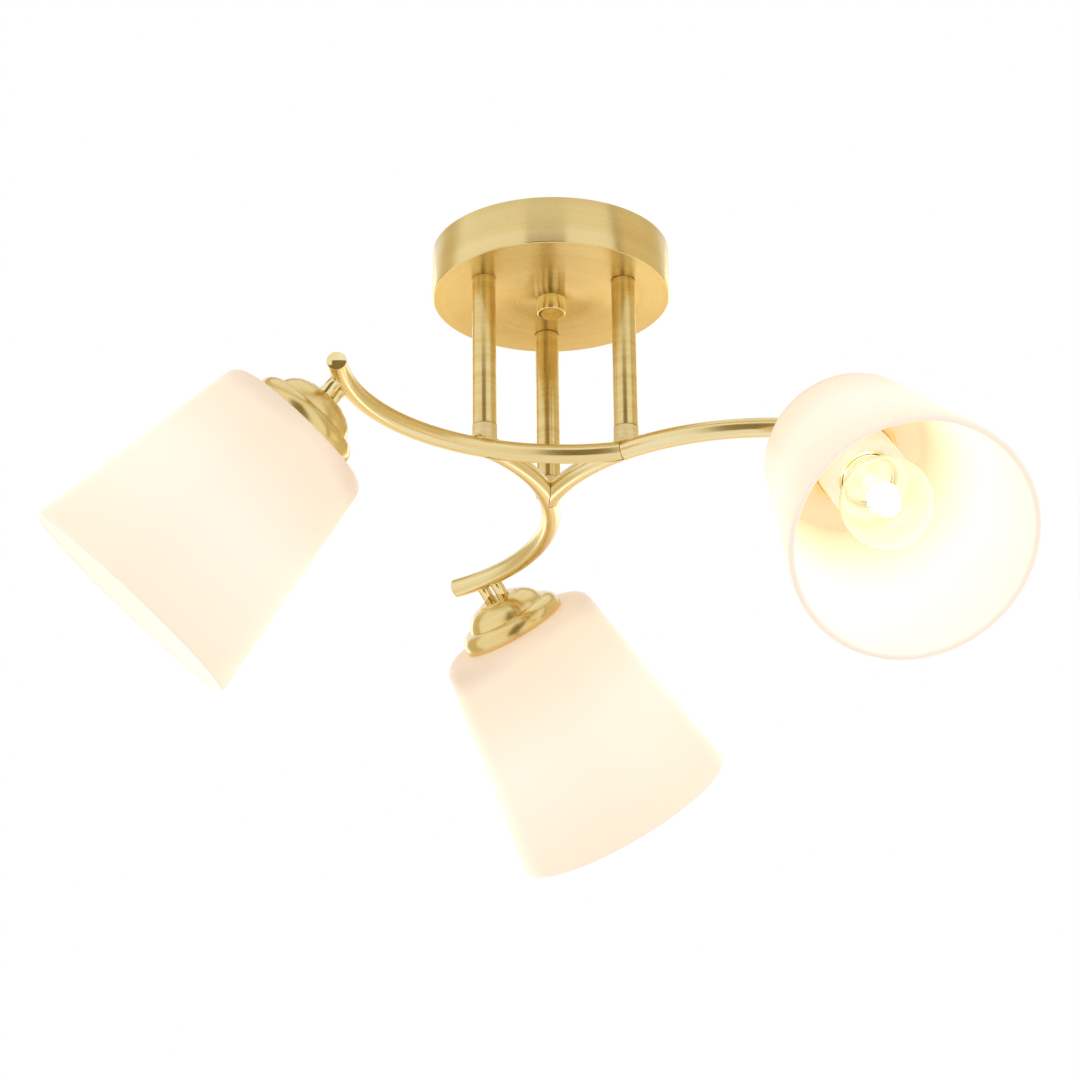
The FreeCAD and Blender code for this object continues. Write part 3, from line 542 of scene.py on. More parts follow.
rodSizes = {"radius": 6.0, "bore": 5.0, "soft": 0.12, "seam": 0.26, "segments": 72}
collarSizes = {
    "radius": 6.2, "flare": 0.6, "flareHeight": 2.6, "flareRadius": 6.5, "flareEdge": 0.3,
    "footBevel": 0.1, "wire": 3.2, "step": 4.7,
    "bead": 0.45, "beadReach": 0.97, "beadLean": 0.85, "beadHide": 1.5, "hiddenBead": 0.1, "beadCount": 96,
}
armSizes = {
    "radius": 4.8, "bore": 3.8, "bend": 111.0, "rodAngle": 109.0, "endAngle": 174.0,
    "firstRodAngle": 210.0,  # compass angle of rod 1, seen from the canopy's middle
    "sides": 40, "steps": 150, "seam": 0.2, "seamStep": 0.02, "seamCount": 80,
    "cap": 1.0, "crown": 0.6, "crownRadius": 18.0, "capPlug": 3.0, "capGap": 0.1, "capEdge": 0.12,
    "capBevel": 0.2, "capSoft": 0.05,
}


def armFrame(number):  # middle of the arm's arc in mm, and the angle of the rod seen from there
    rod = rodAxis(number) / mm
    outwards = math.degrees(math.atan2(rod.y, rod.x))
    lean = outwards - armSizes["firstRodAngle"] + armSizes["rodAngle"]
    turn = math.radians(lean)
    low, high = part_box("arm_%d" % number)
    height = (low.z + high.z) / 2 / mm
    centre = Vector((rod.x, rod.y, height)) - Vector((math.cos(turn), math.sin(turn), 0)) * armSizes["bend"]
    return centre, lean


armOf = {number: armFrame(number) for number in heads}


def flatDistance(point, number):  # how far outside the arm's middle line, seen from above
    centre, _ = armOf[number]
    return math.hypot(point.x - centre.x, point.y - centre.y) - armSizes["bend"]


def distanceToArm(point, number):
    return math.hypot(flatDistance(point, number), point.z - armOf[number][0].z)


def armTurn(number, angle):  # angle is counted as on the first arm
    return math.radians(angle - armSizes["rodAngle"] + armOf[number][1])


def armPoint(number, angle, around=0.0, radius=0.0):
    turn = armTurn(number, angle)
    out = armSizes["bend"] + math.cos(around) * radius
    return armOf[number][0] + Vector((math.cos(turn) * out, math.sin(turn) * out, math.sin(around) * radius))


def armStartAngle():  # where the middle lines of two arms cross
    low, high = 60.0, armSizes["rodAngle"] - 5
    centre, _ = armOf[carrierOf[1]]
    for _ in range(40):
        middle = (low + high) / 2
        inside = (armPoint(1, middle) - centre).length < armSizes["bend"]
        outsideAtHigh = (armPoint(1, high) - centre).length >= armSizes["bend"]
        if inside == outsideAtHigh:
            low = middle
        else:
            high = middle
    return (low + high) / 2


def makeRods():
    s = rodSizes
    for number in heads:
        top, bottom = depthOf("rod_%d" % number)
        corners = [(s["bore"], top), (s["radius"], top), (s["radius"], bottom), (s["bore"], bottom)]
        turnPiece(corners, "rodTube%d" % number, "fixture", "rodBrass", "satin_brass",
                  hanging(rodAxis(number)), ["rod_%d" % number], segments=s["segments"], soft=s["soft"])


def makeSeamShadows():  # painted shade: a dark bead ring where each rod meets the canopy and its collar stands in for the shade in the joint
    radius, count = rodSizes["radius"], rodSizes["segments"]
    turns = [math.tau * i / count for i in range(count)]
    bm = bmesh.new()
    for number in heads:
        rod = rodAxis(number) / mm
        for depth in (depthOf("canopy")[1], depthOf("collar_%d" % number)[0]):
            points = [Vector((rod.x + math.cos(t) * radius, rod.y + math.sin(t) * radius, -depth))
                      for t in turns]
            joinInto(bm, tubeAlong(points, [rodSizes["seam"]] * count, sides=8, closed=True))
    makePiece(bm, "rodSeamShadows", "fixture", "seamShadeBrass")


def makeCollars():
    s = collarSizes
    radius, wire, bore = s["radius"], s["wire"], rodSizes["bore"]
    foot = radius + s["flare"]
    for number in heads:
        top, bottom = depthOf("collar_%d" % number)
        corners = [(bore, top), (radius, top), (radius, bottom - s["flareHeight"]),
                   (foot, bottom - s["flareEdge"], -s["flareRadius"]), (foot - s["footBevel"], bottom),
                   (wire, bottom), (wire, top + s["step"]), (bore, top + s["step"])]
        turnPiece(corners, "collarTube%d" % number, "fixture", "collarBrass", "matte_brass",
                  hanging(rodAxis(number)), ["collar_%d" % number],
                  segments=rodSizes["segments"], soft=rodSizes["soft"])
        makeCollarBraze(number, bottom, foot * s["beadReach"])


def makeCollarBraze(number, bottom, reach):  # the melted fillet between collar and arm
    s = collarSizes
    rod = rodAxis(number) / mm
    hidden = (s["wire"] + s["radius"]) / 2
    tube = armSizes["radius"]
    points, radii = [], []
    for i in range(s["beadCount"]):
        turn = math.tau * i / s["beadCount"]
        out = Vector((math.cos(turn), math.sin(turn), 0))
        spot = rod + out * reach
        heights = []
        for owner in (number, nextHead[number]):
            flat = flatDistance(spot, owner)
            if abs(flat) < tube * s["beadLean"]:
                heights.append(armOf[owner][0].z + math.sqrt(tube ** 2 - flat ** 2))
        if heights:
            points.append(Vector((spot.x, spot.y, max(heights))))
            radii.append(unevenBead(s["bead"], turn, number))
        else:  # off the arms the bead runs out of sight inside the collar
            inside = rod + out * hidden
            points.append(Vector((inside.x, inside.y, s["beadHide"] - bottom)))
            radii.append(s["hiddenBead"])
    makePiece(tubeAlong(points, radii, sides=12, closed=True), "collarBraze%d" % number, "fixture",
              "brazeBrass")


# ---- arms ----


def makeArmTube(number, startAngle):
    s = armSizes
    first = armTurn(number, startAngle)
    sweep = math.radians(s["endAngle"] - startAngle) - s["cap"] / s["bend"]
    stand = Matrix.Rotation(first, 4, "Z") @ Matrix.Translation((s["bend"], 0, 0)) \
        @ Matrix.Rotation(math.pi / 2, 4, "X")
    bm = bmesh.new()
    for radius in (s["radius"], s["bore"]):
        ring = bmesh.ops.create_circle(bm, segments=s["sides"], radius=radius)["verts"]
        bmesh.ops.transform(bm, matrix=stand, verts=ring)
    bmesh.ops.bridge_loops(bm, edges=bm.edges[:])
    wall = bm.faces[:]
    rim = list({e for f in wall for e in f.edges})
    corners = list({v for f in wall for v in f.verts})
    bmesh.ops.spin(bm, geom=corners + rim + wall, axis=(0, 0, 1), angle=sweep, steps=s["steps"])
    closeMesh(bm)

    def along(co):
        turn = math.atan2(co.y, co.x)
        return ((turn - first + 1) % math.tau - 1) * s["bend"], co.xy.length - s["bend"], co.z

    layStraightGrain(bm, along)
    bmesh.ops.translate(bm, vec=armOf[number][0], verts=bm.verts)
    makePiece(bm, "armTube%d" % number, "fixture", "armBrass", None, ["arm_%d" % number])


def makeArmSeam(number, startAngle):  # braze where the arm is butted on its neighbour, coloured dark as painted shade in the joint
    s = armSizes
    points, radii = [], []
    for i in range(s["seamCount"]):
        around = math.tau * i / s["seamCount"]
        angle = startAngle
        while distanceToArm(armPoint(number, angle, around, s["radius"]), carrierOf[number]) < s["radius"]:
            angle += s["seamStep"]
        points.append(armPoint(number, angle, around, s["radius"]))
        radii.append(unevenBead(s["seam"], around, number))
    makePiece(tubeAlong(points, radii, closed=True), "armBraze%d" % number, "fixture", "seamShadeBrass")


def makeArmCaps():
    s = armSizes
    thick, radius, edge, bevel = s["cap"], s["radius"], s["capEdge"], s["capBevel"]
    plug = s["bore"] - s["capGap"]
    brim = thick - s["crown"]
    corners = [(0, -s["capPlug"]), (plug, -s["capPlug"]), (plug, 0.0), (radius - edge, 0.0), (radius, edge),
               (radius, brim - bevel), (radius - bevel, brim, bevel), (0, thick, s["crownRadius"])]
    caps = bmesh.new()
    for number in heads:
        bm = lathe(corners, segments=64, soft=s["capSoft"])
        end = armTurn(number, s["endAngle"])
        stand = Matrix.Translation(armOf[number][0]) @ Matrix.Rotation(end, 4, "Z") \
            @ Matrix.Translation((s["bend"], -thick, 0)) @ Matrix.Rotation(-math.pi / 2, 4, "X")
        bmesh.ops.transform(bm, matrix=stand, verts=bm.verts)
        joinInto(caps, bm)
    makePiece(caps, "armCaps", "fixture", "polishedBrass", None, ["arm_end_caps"])


armStart = armStartAngle()
makeRods()
makeSeamShadows()
makeCollars()
for number in heads:
    makeArmTube(number, armStart)
    makeArmSeam(number, armStart)
makeArmCaps()
print("rods, collars and arms made, arms start at %.2f degrees" % armStart)


# ---- heads: posts and cups ----

postSizes = {
    "radius": 3.2, "spacing": 9.4, "reach": 12.3, "spigot": 2.0, "bore": 1.2, "tail": 7.8, "sink": 0.3,
    "soft": 0.12, "segments": 48, "bead": 0.42, "beadLobes": 4, "beadShare": 0.35,
}
cupSizes = {
    "top": 12.3, "crown": 10.4, "bevel": 0.6, "step": 12.4, "stepHeight": 0.9, "dome": 21.2,
    "domeHeight": 9.5, "domeRadius": 13.5, "neck": 22.3, "flange": 28.1, "rollHeight": 16.4,
    "rollRadius": 6.8, "height": 18.7, "wall": 0.8, "soft": 0.22, "segments": 144,
}


def makePosts(number, place):
    s = postSizes
    radius, reach, spigot, bore, count = s["radius"], s["reach"], s["spigot"], s["bore"], s["segments"]
    low = math.sqrt(armSizes["radius"] ** 2 - radius ** 2) - s["sink"]
    tail = reach + s["tail"]
    corners = [(bore, low), (radius, low), (radius, reach), (spigot, reach), (spigot, tail), (bore, tail)]
    posts, braze = bmesh.new(), bmesh.new()
    for side in (-1, 1):
        x = side * s["spacing"] / 2
        post = lathe(corners, segments=count, soft=s["soft"])
        bmesh.ops.translate(post, vec=(x, 0, 0), verts=post.verts)
        joinInto(posts, post)
        points, radii = [], []
        for i in range(count):
            turn = math.tau * i / count
            px, py = math.cos(turn) * radius, math.sin(turn) * radius
            points.append(Vector((x + px, py, math.sqrt(armSizes["radius"] ** 2 - py ** 2))))
            radii.append(unevenBead(s["bead"], turn, side + number, s["beadLobes"], s["beadShare"]))
        joinInto(braze, tubeAlong(points, radii, closed=True))
    makePiece(posts, "postPair%d" % number, "fixture", "polishedBrass", place,
              ["posts_%d" % number])
    makePiece(braze, "postBraze%d" % number, "fixture", "brazeBrass", place)


def makeCup(number, place):
    s = cupSizes
    top, wall = s["top"], s["wall"]
    crown, step, dome, neck, flange = s["crown"], s["step"], s["dome"], s["neck"], s["flange"]
    ledge = top + s["stepHeight"]
    shoulder = top + s["domeHeight"]
    roll = top + s["rollHeight"]
    rim = top + s["height"]
    corners = [(0, top), (crown, top), (crown + s["bevel"], top + s["bevel"]), (step, ledge),
               (dome, shoulder, s["domeRadius"]), (neck, shoulder), (flange, roll, s["rollRadius"]),
               (flange, rim), (flange - wall, rim), (flange - wall, roll),
               (neck, shoulder + wall, -(s["rollRadius"] - wall)), (dome - wall, shoulder + wall),
               (dome - wall, shoulder), (step - wall / 2, ledge + wall, -(s["domeRadius"] - wall)),
               (crown, ledge + wall / 2), (crown, top + wall), (0, top + wall)]
    turnPiece(corners, "cupShell%d" % number, "fixture", "cupBrass", "satin_brass", place,
              ["cup_%d" % number], segments=s["segments"], soft=s["soft"], softSteps=3)


# ---- heads: lampholder ----

holderSizes = {
    "radius": 20.0, "wall": 2.4, "seam": 27.0, "mouth": 70.0, "bore": 14.5, "socket": 43.0, "floor": 4.0,
    "rivet": 1.55, "mouthBevel": 1.2, "boreBevel": 0.5, "soft": 0.12,
    "threadStart": 2.0, "threadDepth": 0.55, "threadPitch": 2.5, "threadTurns": 12,
    "grooveShares": (0.5, 0.9, 1.4, 2),  # where the groove is deep and where it is over, in half pitches
    "shellLength": 23.0, "shellRadius": 13.65, "shellWall": 0.3, "shellStart": 5.0, "shellFoot": 11.0,
    "liningDrop": 0.5, "insideShade": 13.35, "liningGap": 0.1, "liningFoot": 0.5,
}
screwSizes = {"pitch": 3.629, "depth": 0.7, "turns": 4}  # the rounded thread of the socket and the bulb


def screwCorners(radius, start, outwards):  # half waves in turn
    chord = screwSizes["pitch"] / 2
    bulge = chord * chord / (screwSizes["depth"] * 4) + screwSizes["depth"] / 4
    halves = screwSizes["turns"] * 2
    corners = []
    for i in range(1, halves + 1):
        count = i if outwards else halves - i
        corners.append((radius, start + chord * count, bulge * (1 if i % 2 else -1)))
    return corners


def makeLampholder(number, place):
    s = holderSizes
    outer, bore, rivet, mouth, socket = s["radius"], s["bore"], s["rivet"], s["mouth"], s["socket"]
    inner = outer - s["wall"]
    start = s["seam"] + s["threadStart"]
    corners = [(inner, s["seam"]), (outer, s["seam"]), (outer, start)]
    valley = outer - s["threadDepth"]
    for i in range(s["threadTurns"]):  # thread of the barrel, which the shade's ring runs on
        low = start + s["threadPitch"] * i
        spots = [low + s["threadPitch"] / 2 * share for share in s["grooveShares"]]
        corners += [(valley, spots[0]), (valley, spots[1]), (outer, spots[2]), (outer, spots[3])]
    bevel, boreBevel, floor = s["mouthBevel"], s["boreBevel"], socket - s["floor"]
    corners += [(outer, mouth - bevel), (outer - bevel, mouth, bevel), (bore + boreBevel, mouth),
                (bore, mouth - boreBevel, boreBevel), (bore, socket), (rivet, socket), (rivet, floor),
                (inner, floor)]
    turnPiece(corners, "holderBarrel%d" % number, "fixture", "whitePlastic", "lampholder_plastic", place,
              ["lampholder_%d" % number], soft=s["soft"])
    mean, foot, wall = s["shellRadius"], s["shellFoot"], s["shellWall"]
    thread = socket + s["shellStart"]
    high = socket + s["shellLength"]
    outerShell = mean + wall
    brim, insideShade = bore - s["liningGap"], mouth - s["liningDrop"]
    corners = [(foot, socket), (outerShell, socket), (outerShell, thread)]
    corners += screwCorners(outerShell, thread, True)
    corners += [(outerShell, high), (brim, high + wall), (brim, insideShade), (s["insideShade"], insideShade),
                (s["insideShade"], high + s["liningFoot"]), (mean, high),
                (mean, thread + screwSizes["pitch"] * screwSizes["turns"])]
    corners += screwCorners(mean, thread, False)
    corners += [(mean, socket + wall), (foot, socket + wall)]
    turnPiece(corners, "screwShell%d" % number, "fixture", "shellBrass", "shell_brass", place,
              ["screw_shell_%d" % number])


# ---- heads: shade with its ring ----

shadeSizes = {
    "top": 31.1, "height": 117.5, "mouth": 60.8, "shoulder": 41.7, "shoulderRadius": 7.5, "wall": 3.2,
    "hole": 21.2, "lip": 1.5, "lipBulges": (1.02, 1.05), "lipInner": 0.9, "soft": 0.25, "segments": 192,
    "longEdge": 40, "wallCuts": 12,
}
ringSizes = {
    "bore": 20.05, "flange": 23.6, "flangeThick": 1.4, "collar": 21.8, "height": 10.0, "low": 35.2,
    "soft": 0.2, "washerGap": 0.05, "washerLow": 34.3, "washerHigh": 35.1, "washerSoft": 0.1, "segments": 120,
}


def makeShade(number, place):
    s = shadeSizes
    top, wall, mouth, lip = s["top"], s["wall"], s["mouth"], s["lip"]
    rim = top + s["height"]
    lean = math.atan2(mouth - s["shoulder"], s["height"])
    slope = Vector((math.sin(lean), math.cos(lean)))

    def rounded(radius, across, height):  # ends of the arc that rounds the top edge
        back = radius * math.tan((math.pi / 2 - lean) / 2)
        corner = Vector((across, height))
        return corner - Vector((back, 0)), corner + slope * back

    bend = s["shoulderRadius"]
    outerTop, outerSide = rounded(bend, s["shoulder"], top)
    innerTop, innerSide = rounded(bend - wall, s["shoulder"] - wall, top + wall)
    outerEnd = Vector((mouth, rim)) - slope * lip
    innerEnd = Vector((mouth - wall, rim)) - slope * lip
    corners = [(s["hole"], top), tuple(outerTop), (*outerSide, bend), tuple(outerEnd),
               (mouth - lip, rim, lip * s["lipBulges"][0]), (mouth - wall + lip * s["lipInner"], rim),
               (*innerEnd, lip * s["lipBulges"][1]), tuple(innerSide), (*innerTop, -(bend - wall)),
               (s["hole"], top + wall)]
    bm = lathe(corners, segments=s["segments"], soft=s["soft"])
    uprights = [e for e in bm.edges if abs(e.verts[0].co.z - e.verts[1].co.z) > s["longEdge"]]
    bmesh.ops.subdivide_edges(bm, edges=uprights, cuts=s["wallCuts"], use_grid_fill=True)
    layTurnedGrain(bm)
    bm.normal_update()
    # inner marks the inside faces, which the glass material gives painted shade and its own tint
    inner = bm.verts.layers.float.new("inner")
    for v in bm.verts:
        v[inner] = float(v.normal.z > 0)
    makePiece(bm, "shadeGlass%d" % number, "shade_body_%d" % number, "opalGlass", place,
              ["shade_%d" % number])


def makeShadeRing(number, place):
    s = ringSizes
    bore, edge, collar, low = s["bore"], s["flange"], s["collar"], s["low"]
    flange = low + s["flangeThick"]
    high = low + s["height"]
    corners = [(bore, low), (edge, low), (edge, flange), (collar, flange), (collar, high), (bore, high)]
    turnPiece(corners, "shadeRing%d" % number, "ring_body_%d" % number, "ringBrass", "ring_brass", place,
              ["shade_ring_%d" % number], segments=s["segments"], soft=s["soft"])
    bore += s["washerGap"]
    low, high = s["washerLow"], s["washerHigh"]
    turnPiece([(bore, low), (edge, low), (edge, high), (bore, high)], "ringWasher%d" % number,
              "shade_body_%d" % number, "ringBrass", "ring_brass", place, ["ring_washer_%d" % number],
              segments=s["segments"], soft=s["washerSoft"])


# ---- heads: bulb ----

bulbSizes = {
    "ball": 22.3, "neck": 12.0, "wall": 0.7, "contact": 44.3, "neckTop": 26.2, "neckFoot": 22.8,
    "capRadius": 12.85, "capWall": 0.35, "capEdge": 4.2, "threadStart": 6.2, "capTop": 25.4, "tip": 5.0,
    "tipHeight": 0.9, "tipGap": 0.01, "insulator": 9.5, "insulatorHeight": 4.1, "insulatorPlug": 2.0,
    "insulatorGap": 0.1, "insulatorSoft": 0.15,
}
stemSizes = {
    "radius": 2.2, "rise": 17.0, "gap": 0.05, "disc": 0.8, "flare": 2.2, "flareHeight": 2.4,
    "waist": 7.0, "waistRadius": 9.0, "shoulder": 2.5, "crownShare": 0.6, "crownRadius": 2.6, "tip": 0.3,
}
wireSizes = {
    "radius": 0.3, "length": 14.0, "spread": 7.0, "leadFoot": 2, "leadRise": 3,
    "leadAcross": (0.9, 1.2, 3.6), "hooks": 6, "hookShare": 0.6, "hookDrop": 1.0,
}
coilSizes = {
    "radius": 0.55, "laps": 13, "pointsPerLap": 26, "turns": 0.94, "start": 0.19, "swell": 0.07,
    "drop": 2.6, "sags": 7,
}
flareSizes = {  # painted glow: a glowing capsule round the coil stands in for its flare and is no part of the bulb
    "radius": 6.3, "low": 87.5, "high": 108.5, "footShares": (0.7, 0.3),
}


def makeBulb(number, place):
    body = "bulb_%d" % number
    base = bulbSizes["contact"]
    makeBulbGlass(number, place, body, base)
    makeBulbCap(number, place, body, base)
    makeBulbFoot(number, place, "bulb_foot_%d" % number, base)
    foot = base + bulbSizes["neckFoot"]
    top = foot + stemSizes["rise"]
    crest = top - wireSizes["leadRise"] + wireSizes["length"]
    makeStem(number, place, body, foot, top)
    makeWires(number, place, body, foot, top, crest)
    makeCoil(number, place, body, crest)


def makeBulbGlass(number, place, body, base):  # a thin closed shell, pole to pole
    s = bulbSizes
    ball, neck, wall = s["ball"], s["neck"], s["wall"]
    neckTop = base + s["neckTop"]
    foot = base + s["neckFoot"]
    rise = ballHeight - neckTop
    flare = (neck * neck + rise * rise - ball * ball) / ((ball - neck) * 2)
    leanR, leanZ = (neck + flare) / (ball + flare), rise / (ball + flare)
    inner = ball - wall
    outside = [(neck - wall, foot), (neck, foot), (neck, neckTop),
               (leanR * ball, ballHeight - leanZ * ball, -flare), (0, ballHeight + ball, ball)]
    inside = [(0, ballHeight + inner), (leanR * inner, ballHeight - leanZ * inner, -inner),
              (neck - wall, neckTop, flare + wall)]
    bm = bmesh.new()
    verts, edges = addLine(bm, outlinePoints(outside))
    insideShade, liningEdges = addLine(bm, outlinePoints(inside))
    seam = bm.edges.new((insideShade[-1], verts[0]))
    spinLine(bm, verts + insideShade + edges + liningEdges + [seam], 96)
    layTurnedGrain(bm)
    makePiece(bm, "bulbGlass%d" % number, body, "clearGlass", place,
              ["bulb_glass_%d" % number])


def makeBulbCap(number, place, body, base):
    s = bulbSizes
    mean, wall = s["capRadius"], s["capWall"]
    edge = base + s["capEdge"]
    thread = base + s["threadStart"]
    high = base + s["capTop"]
    lip = s["insulator"] + s["insulatorGap"]
    inner = mean - wall
    corners = [(lip, edge), (mean - wall * 2, edge), (mean, edge + wall * 2), (mean, thread)]
    corners += screwCorners(mean, thread, True)
    corners += [(mean, high), (inner, high), (inner, thread + screwSizes["pitch"] * screwSizes["turns"])]
    corners += screwCorners(inner, thread, False)
    corners += [(inner, edge + wall * 2), (mean - wall * 2, edge + wall), (lip, edge + wall)]
    turnPiece(corners, "bulbCap%d" % number, body, "nickel", "nickel_plated_cap", place,
              ["bulb_cap_%d" % number])


def makeBulbFoot(number, place, body, base):
    s = bulbSizes
    tip, high = s["tip"], base + s["tipHeight"]
    bevel = s["tipHeight"] / 2
    button = lathe([(0, base), (tip - bevel, base), (tip, base + bevel, bevel), (tip, high), (0, high)],
                   segments=48)
    makePiece(button, "bulbTip%d" % number, body, "tin", place,
              ["bulb_contact_%d" % number])
    low = high + s["tipGap"]
    top = base + s["insulatorHeight"]
    plug = top + s["insulatorPlug"]
    bead = lathe([(0, low), (tip, low), (s["insulator"], top), (s["insulator"], plug), (0, plug)],
                 segments=64, soft=s["insulatorSoft"])
    makePiece(bead, "bulbVitrite%d" % number, body, "blackVitrite", place)


def makeStem(number, place, body, foot, top):
    s = stemSizes
    radius = s["radius"]
    disc = bulbSizes["neck"] - bulbSizes["wall"] - s["gap"]
    corners = [(0, foot), (disc, foot), (disc, foot + s["disc"]),
               (radius + s["flare"], foot + s["flareHeight"]),
               (radius, foot + s["waist"], -s["waistRadius"]), (radius, top - s["shoulder"]),
               (radius * s["crownShare"], top, s["crownRadius"]), (0, top + s["tip"])]
    makePiece(lathe(corners, segments=64), "bulbStem%d" % number, body, "stemGlass", place)


def makeWires(number, place, body, foot, top, crest):
    s = wireSizes
    spread = s["spread"]
    heights = (foot + s["leadFoot"], top - s["leadRise"], top + s["leadRise"], crest)
    wires = bmesh.new()
    for side in (-1, 1):
        points = [Vector((side * x, 0, z)) for x, z in zip((*s["leadAcross"], spread), heights)]
        joinInto(wires, tubeAlong(points, [s["radius"]] * len(points), sides=8))
    for i in range(1, s["hooks"]):
        turn = math.pi * i / s["hooks"]
        for half in (1, -1):
            hook = Vector((math.cos(turn) * spread, math.sin(turn) * spread * half,
                           crest - s["hookDrop"] * (i % 2)))
            points = [Vector((0, 0, top - 1)), hook * 0.5 + Vector((0, 0, crest * 0.5 - 1)), hook]
            joinInto(wires, tubeAlong(points, [s["radius"] * s["hookShare"]] * len(points), sides=8))
    makePiece(wires, "bulbWires%d" % number, body, "nickel", place,
              ["filament_%d" % number])


def makeCoil(number, place, body, crest):
    s = coilSizes
    points = []
    count = s["pointsPerLap"] * s["laps"]
    for i in range(count + 1):
        share = i / count
        turn = share * math.tau * s["turns"] + s["start"]
        out = wireSizes["spread"] * (1 + s["swell"] * math.cos(share * math.tau * s["laps"]))
        drop = s["drop"] * abs(math.sin(share * math.pi * s["sags"]))
        points.append(Vector((math.cos(turn) * out, math.sin(turn) * out, crest - drop)))
    makePiece(tubeAlong(points, [s["radius"]] * len(points), sides=8), "bulbFilament%d" % number, body,
              "glowWire", place)
    # painted glow: the flare round the coil, a glowing capsule and no part of the bulb
    s = flareSizes
    radius, low, high = s["radius"], s["low"], s["high"]
    across, up = s["footShares"]
    corners = [(0, low), (radius * across, low + radius * up, radius), (radius, low + radius),
               (radius, high - radius), (0, high, radius)]
    makePiece(lathe(corners, segments=48), "bulbCapsule%d" % number, body, "paintedFlare",
              place)


for number in heads:
    place = headPlace(number)
    makePosts(number, place)
    makeCup(number, place)
    makeLampholder(number, place)
    makeShade(number, place)
    makeShadeRing(number, place)
    makeBulb(number, place)
    print("head", number, "made")


# ---- finishes of the pieces that keep their shape ----

finishes = {
    "mounting_bracket": "zincSteel", "bracket_stud": "zincSteel", "stud_lock_nut": "zincSteel",
    "earth_terminal": "shellBrass", "terminal_block": "blockPlastic", "terminal_screws": "shellBrass",
    "rod_nipples": "zincSteel", "collar_nipples": "zincSteel", "rod_lock_nuts": "zincSteel",
    "rod_lock_washers": "zincSteel", "post_nuts": "zincSteel", "holder_domes": "whitePlastic",
    "holder_contacts": "shellBrass",
}
for node, finish in finishes.items():
    data = frame["nodes"][node].data
    data.materials.clear()
    data.materials.append(materials[finish])
print("carried-over nodes finished:", len(finishes))


# ---- floor, light and camera ----

studio = {
    "background": 1.0, "fill": 0.42,
    "floorDepth": 3.4, "floorSize": 24.0, "floorColor": (0.86, 0.86, 0.85), "floorGlow": 0.9,
    "cardDistance": 3.4,
    "cardsFace": -93.3,  # compass angle of the camera, degrees
    "lamps": [  # name, place, size, watts
        ("keyLamp", (-2.5, -0.8, 0.2), 2.0, 8.0),
        ("sideLamp", (1.7, -1.9, 0.4), 2.0, 8.0),
        ("backLamp", (0.4, 2.4, 0.6), 2.0, 6.0),
    ],
    "cards": {  # from and to round the object, from and to in height, degrees, and colour
        "frontCard": (-22, 14, -42, 26, (0.25, 0.19, 0.085)),
        "slitCard": (64, 70, -38, 48, (0.35, 0.27, 0.13)),
        "rightCard": (70, 140, -38, 45, (0.76, 0.65, 0.44)),
        "leftCard": (-138, -105, -38, 45, (0.70, 0.60, 0.40)),
        "backLeftGlow": (146, 155, -60, 30, (2.6, 2.4, 2.1)),
        "backCard": (155, 203, -70, 8, (1.06, 0.88, 0.60)),
        "backRightGlow": (203, 212, -60, 30, (2.6, 2.4, 2.1)),
        "highCard": (-180, 180, 50, 60, (0.55, 0.44, 0.23)),
        "lowCard": (-140, 140, -58, -44, (0.62, 0.50, 0.28)),
    },
}
cameraSizes = {
    "focalPixels": 4460.1, "imagePixels": 1080, "sensor": 36.0, "distance": 2.20565,
    "rise": 24.565, "yaw": 3.310, "roll": -0.692, "target": (-0.00714, 0.0, -0.16007),
}


def backgroundRays(tree):  # 1 for the rays that are to see the white background
    path = addNode(tree, "ShaderNodeLightPath").outputs
    seen = path["Is Camera Ray"]
    for label in ("Is Glossy Ray", "Is Transmission Ray"):
        seen = calculate(tree, "MAXIMUM", seen, path[label])
    return seen


def makeFloor():
    bm = bmesh.new()
    bmesh.ops.create_grid(bm, x_segments=1, y_segments=1, size=studio["floorSize"] / 2)
    bmesh.ops.translate(bm, vec=(0, 0, -studio["floorDepth"]), verts=bm.verts)
    floor = placeMesh(bm, "floor")
    material, tree, _ = newMaterial("paleFloor", studio["floorColor"], Roughness=0.9)
    floor.data.materials.append(material)
    far = addNode(tree, "ShaderNodeVectorMath", {0: objectVector(tree)}, operation="LENGTH").outputs["Value"]
    fade = mapValue(tree, far, studio["floorGlow"], 1.0, 0.0, studio["floorSize"] / 4)  # pure white far off
    blend = addNode(tree, "ShaderNodeMixShader", {
        "Fac": calculate(tree, "MULTIPLY", fade, backgroundRays(tree)),
        1: tree.nodes["Principled BSDF"].outputs["BSDF"],
        2: addNode(tree, "ShaderNodeEmission").outputs["Emission"],
    })
    feed(tree, tree.nodes["Material Output"].inputs["Surface"], blend.outputs["Shader"])


def makeWorld():
    world = bpy.data.worlds.new("studio")
    bpy.context.scene.world = world
    world.use_nodes = True
    tree = world.node_tree
    sky = tree.nodes["Background"].inputs
    feed(tree, sky["Color"], (1.0, 1.0, 1.0))
    feed(tree, sky["Strength"], mapValue(tree, backgroundRays(tree), studio["fill"], studio["background"]))


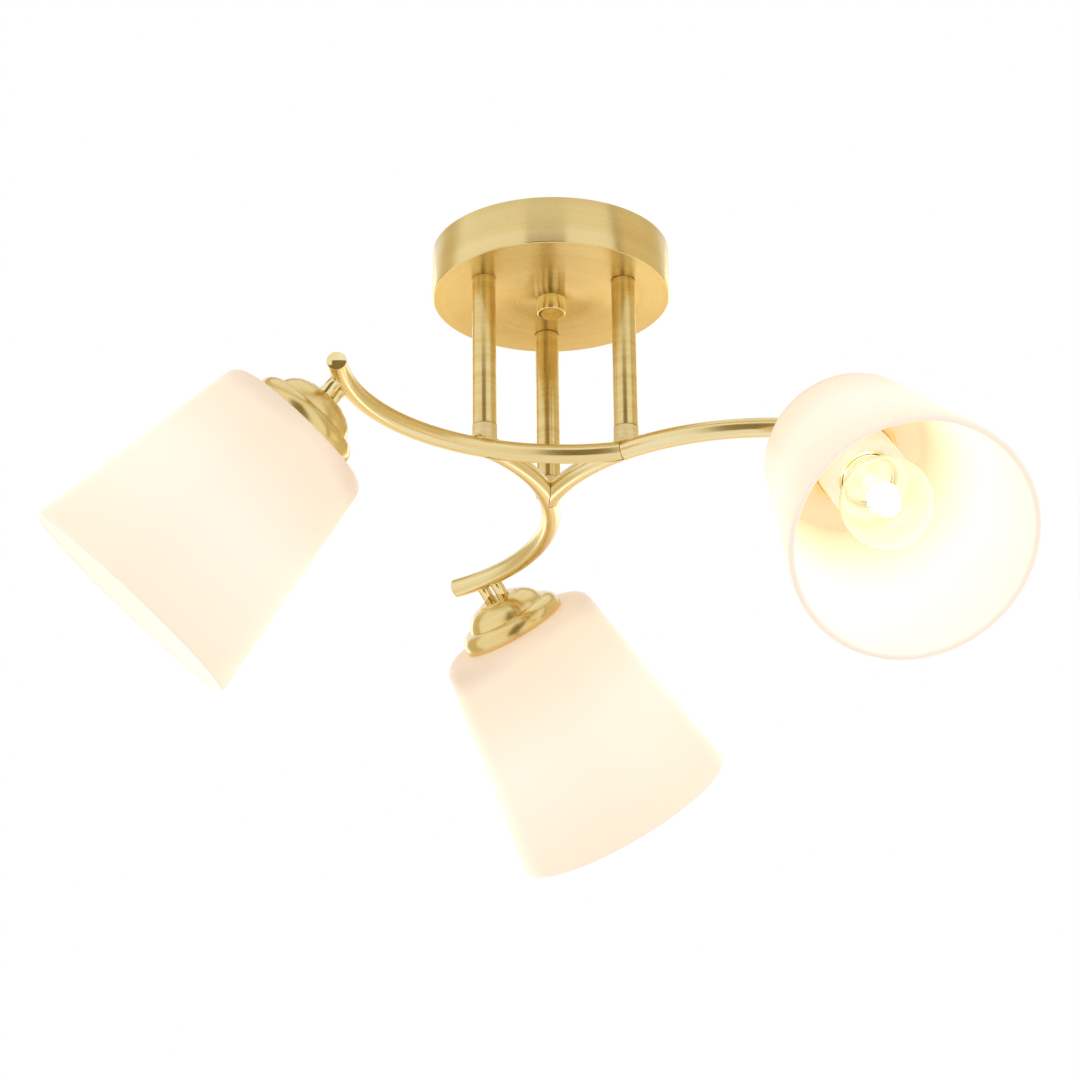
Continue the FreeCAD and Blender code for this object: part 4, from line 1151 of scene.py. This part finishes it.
def makeCards():  # cards that only polished metal and glass see, as a photographer sets them
    far = studio["cardDistance"]
    for name, (left, right, low, high, color) in studio["cards"].items():
        first = math.radians(studio["cardsFace"] + left)
        x, y = math.cos(first) * far, math.sin(first) * far
        bm = bmesh.new()
        ends = [bm.verts.new((x, y, math.tan(math.radians(rise)) * far)) for rise in (low, high)]
        edge = bm.edges.new(ends)
        bmesh.ops.spin(bm, geom=ends + [edge], axis=(0, 0, 1), angle=math.radians(right - left), steps=24)
        bmesh.ops.translate(bm, vec=cadMiddle, verts=bm.verts)
        card = placeMesh(bm, name)
        for ray in ("camera", "diffuse", "transmission", "volume_scatter", "shadow"):
            setattr(card, "visible_" + ray, False)
        material, _, _ = newMaterial(name, (0.0, 0.0, 0.0), Roughness=1.0, Specular_IOR_Level=0.0,
                                     Emission_Color=color, Emission_Strength=1.0)
        card.data.materials.append(material)


def makeLamps():
    for name, spot, size, watts in studio["lamps"]:
        data = bpy.data.lights.new(name, "AREA")
        data.shape = "DISK"
        data.size = size
        data.energy = watts
        lamp = bpy.data.objects.new(name, data)
        lamp.location = spot
        lamp.visible_glossy = False  # the white room and the cards are what the metal shows
        lamp.rotation_mode = "QUATERNION"
        lamp.rotation_quaternion = (cadMiddle - Vector(spot)).to_track_quat("-Z", "Y")
        bpy.context.scene.collection.objects.link(lamp)


def makeCamera():
    s = cameraSizes
    rise = math.radians(s["rise"])
    forward = Vector((0, math.cos(rise), math.sin(rise)))
    right = Vector((1, 0, 0))
    up = right.cross(forward)
    roll = math.radians(s["roll"])
    turnedRight = right * math.cos(roll) + up * math.sin(roll)
    turnedUp = up * math.cos(roll) - right * math.sin(roll)
    stand = Matrix((turnedRight, turnedUp, -forward)).transposed().to_4x4()
    stand.translation = Vector(s["target"]) - forward * s["distance"]
    data = bpy.data.cameras.new("camera")
    data.sensor_width = s["sensor"]
    data.lens = s["focalPixels"] / s["imagePixels"] * s["sensor"]
    data.clip_start = 0.05
    data.clip_end = 100.0
    camera = bpy.data.objects.new("camera", data)
    camera.matrix_world = Matrix.Rotation(math.radians(-s["yaw"]), 4, "Z") @ stand
    bpy.context.scene.collection.objects.link(camera)
    bpy.context.scene.camera = camera


makeFloor()
makeWorld()
makeCards()
makeLamps()
makeCamera()
bpy.context.scene.view_settings.view_transform = "Standard"
print("stage, lamps and camera made")
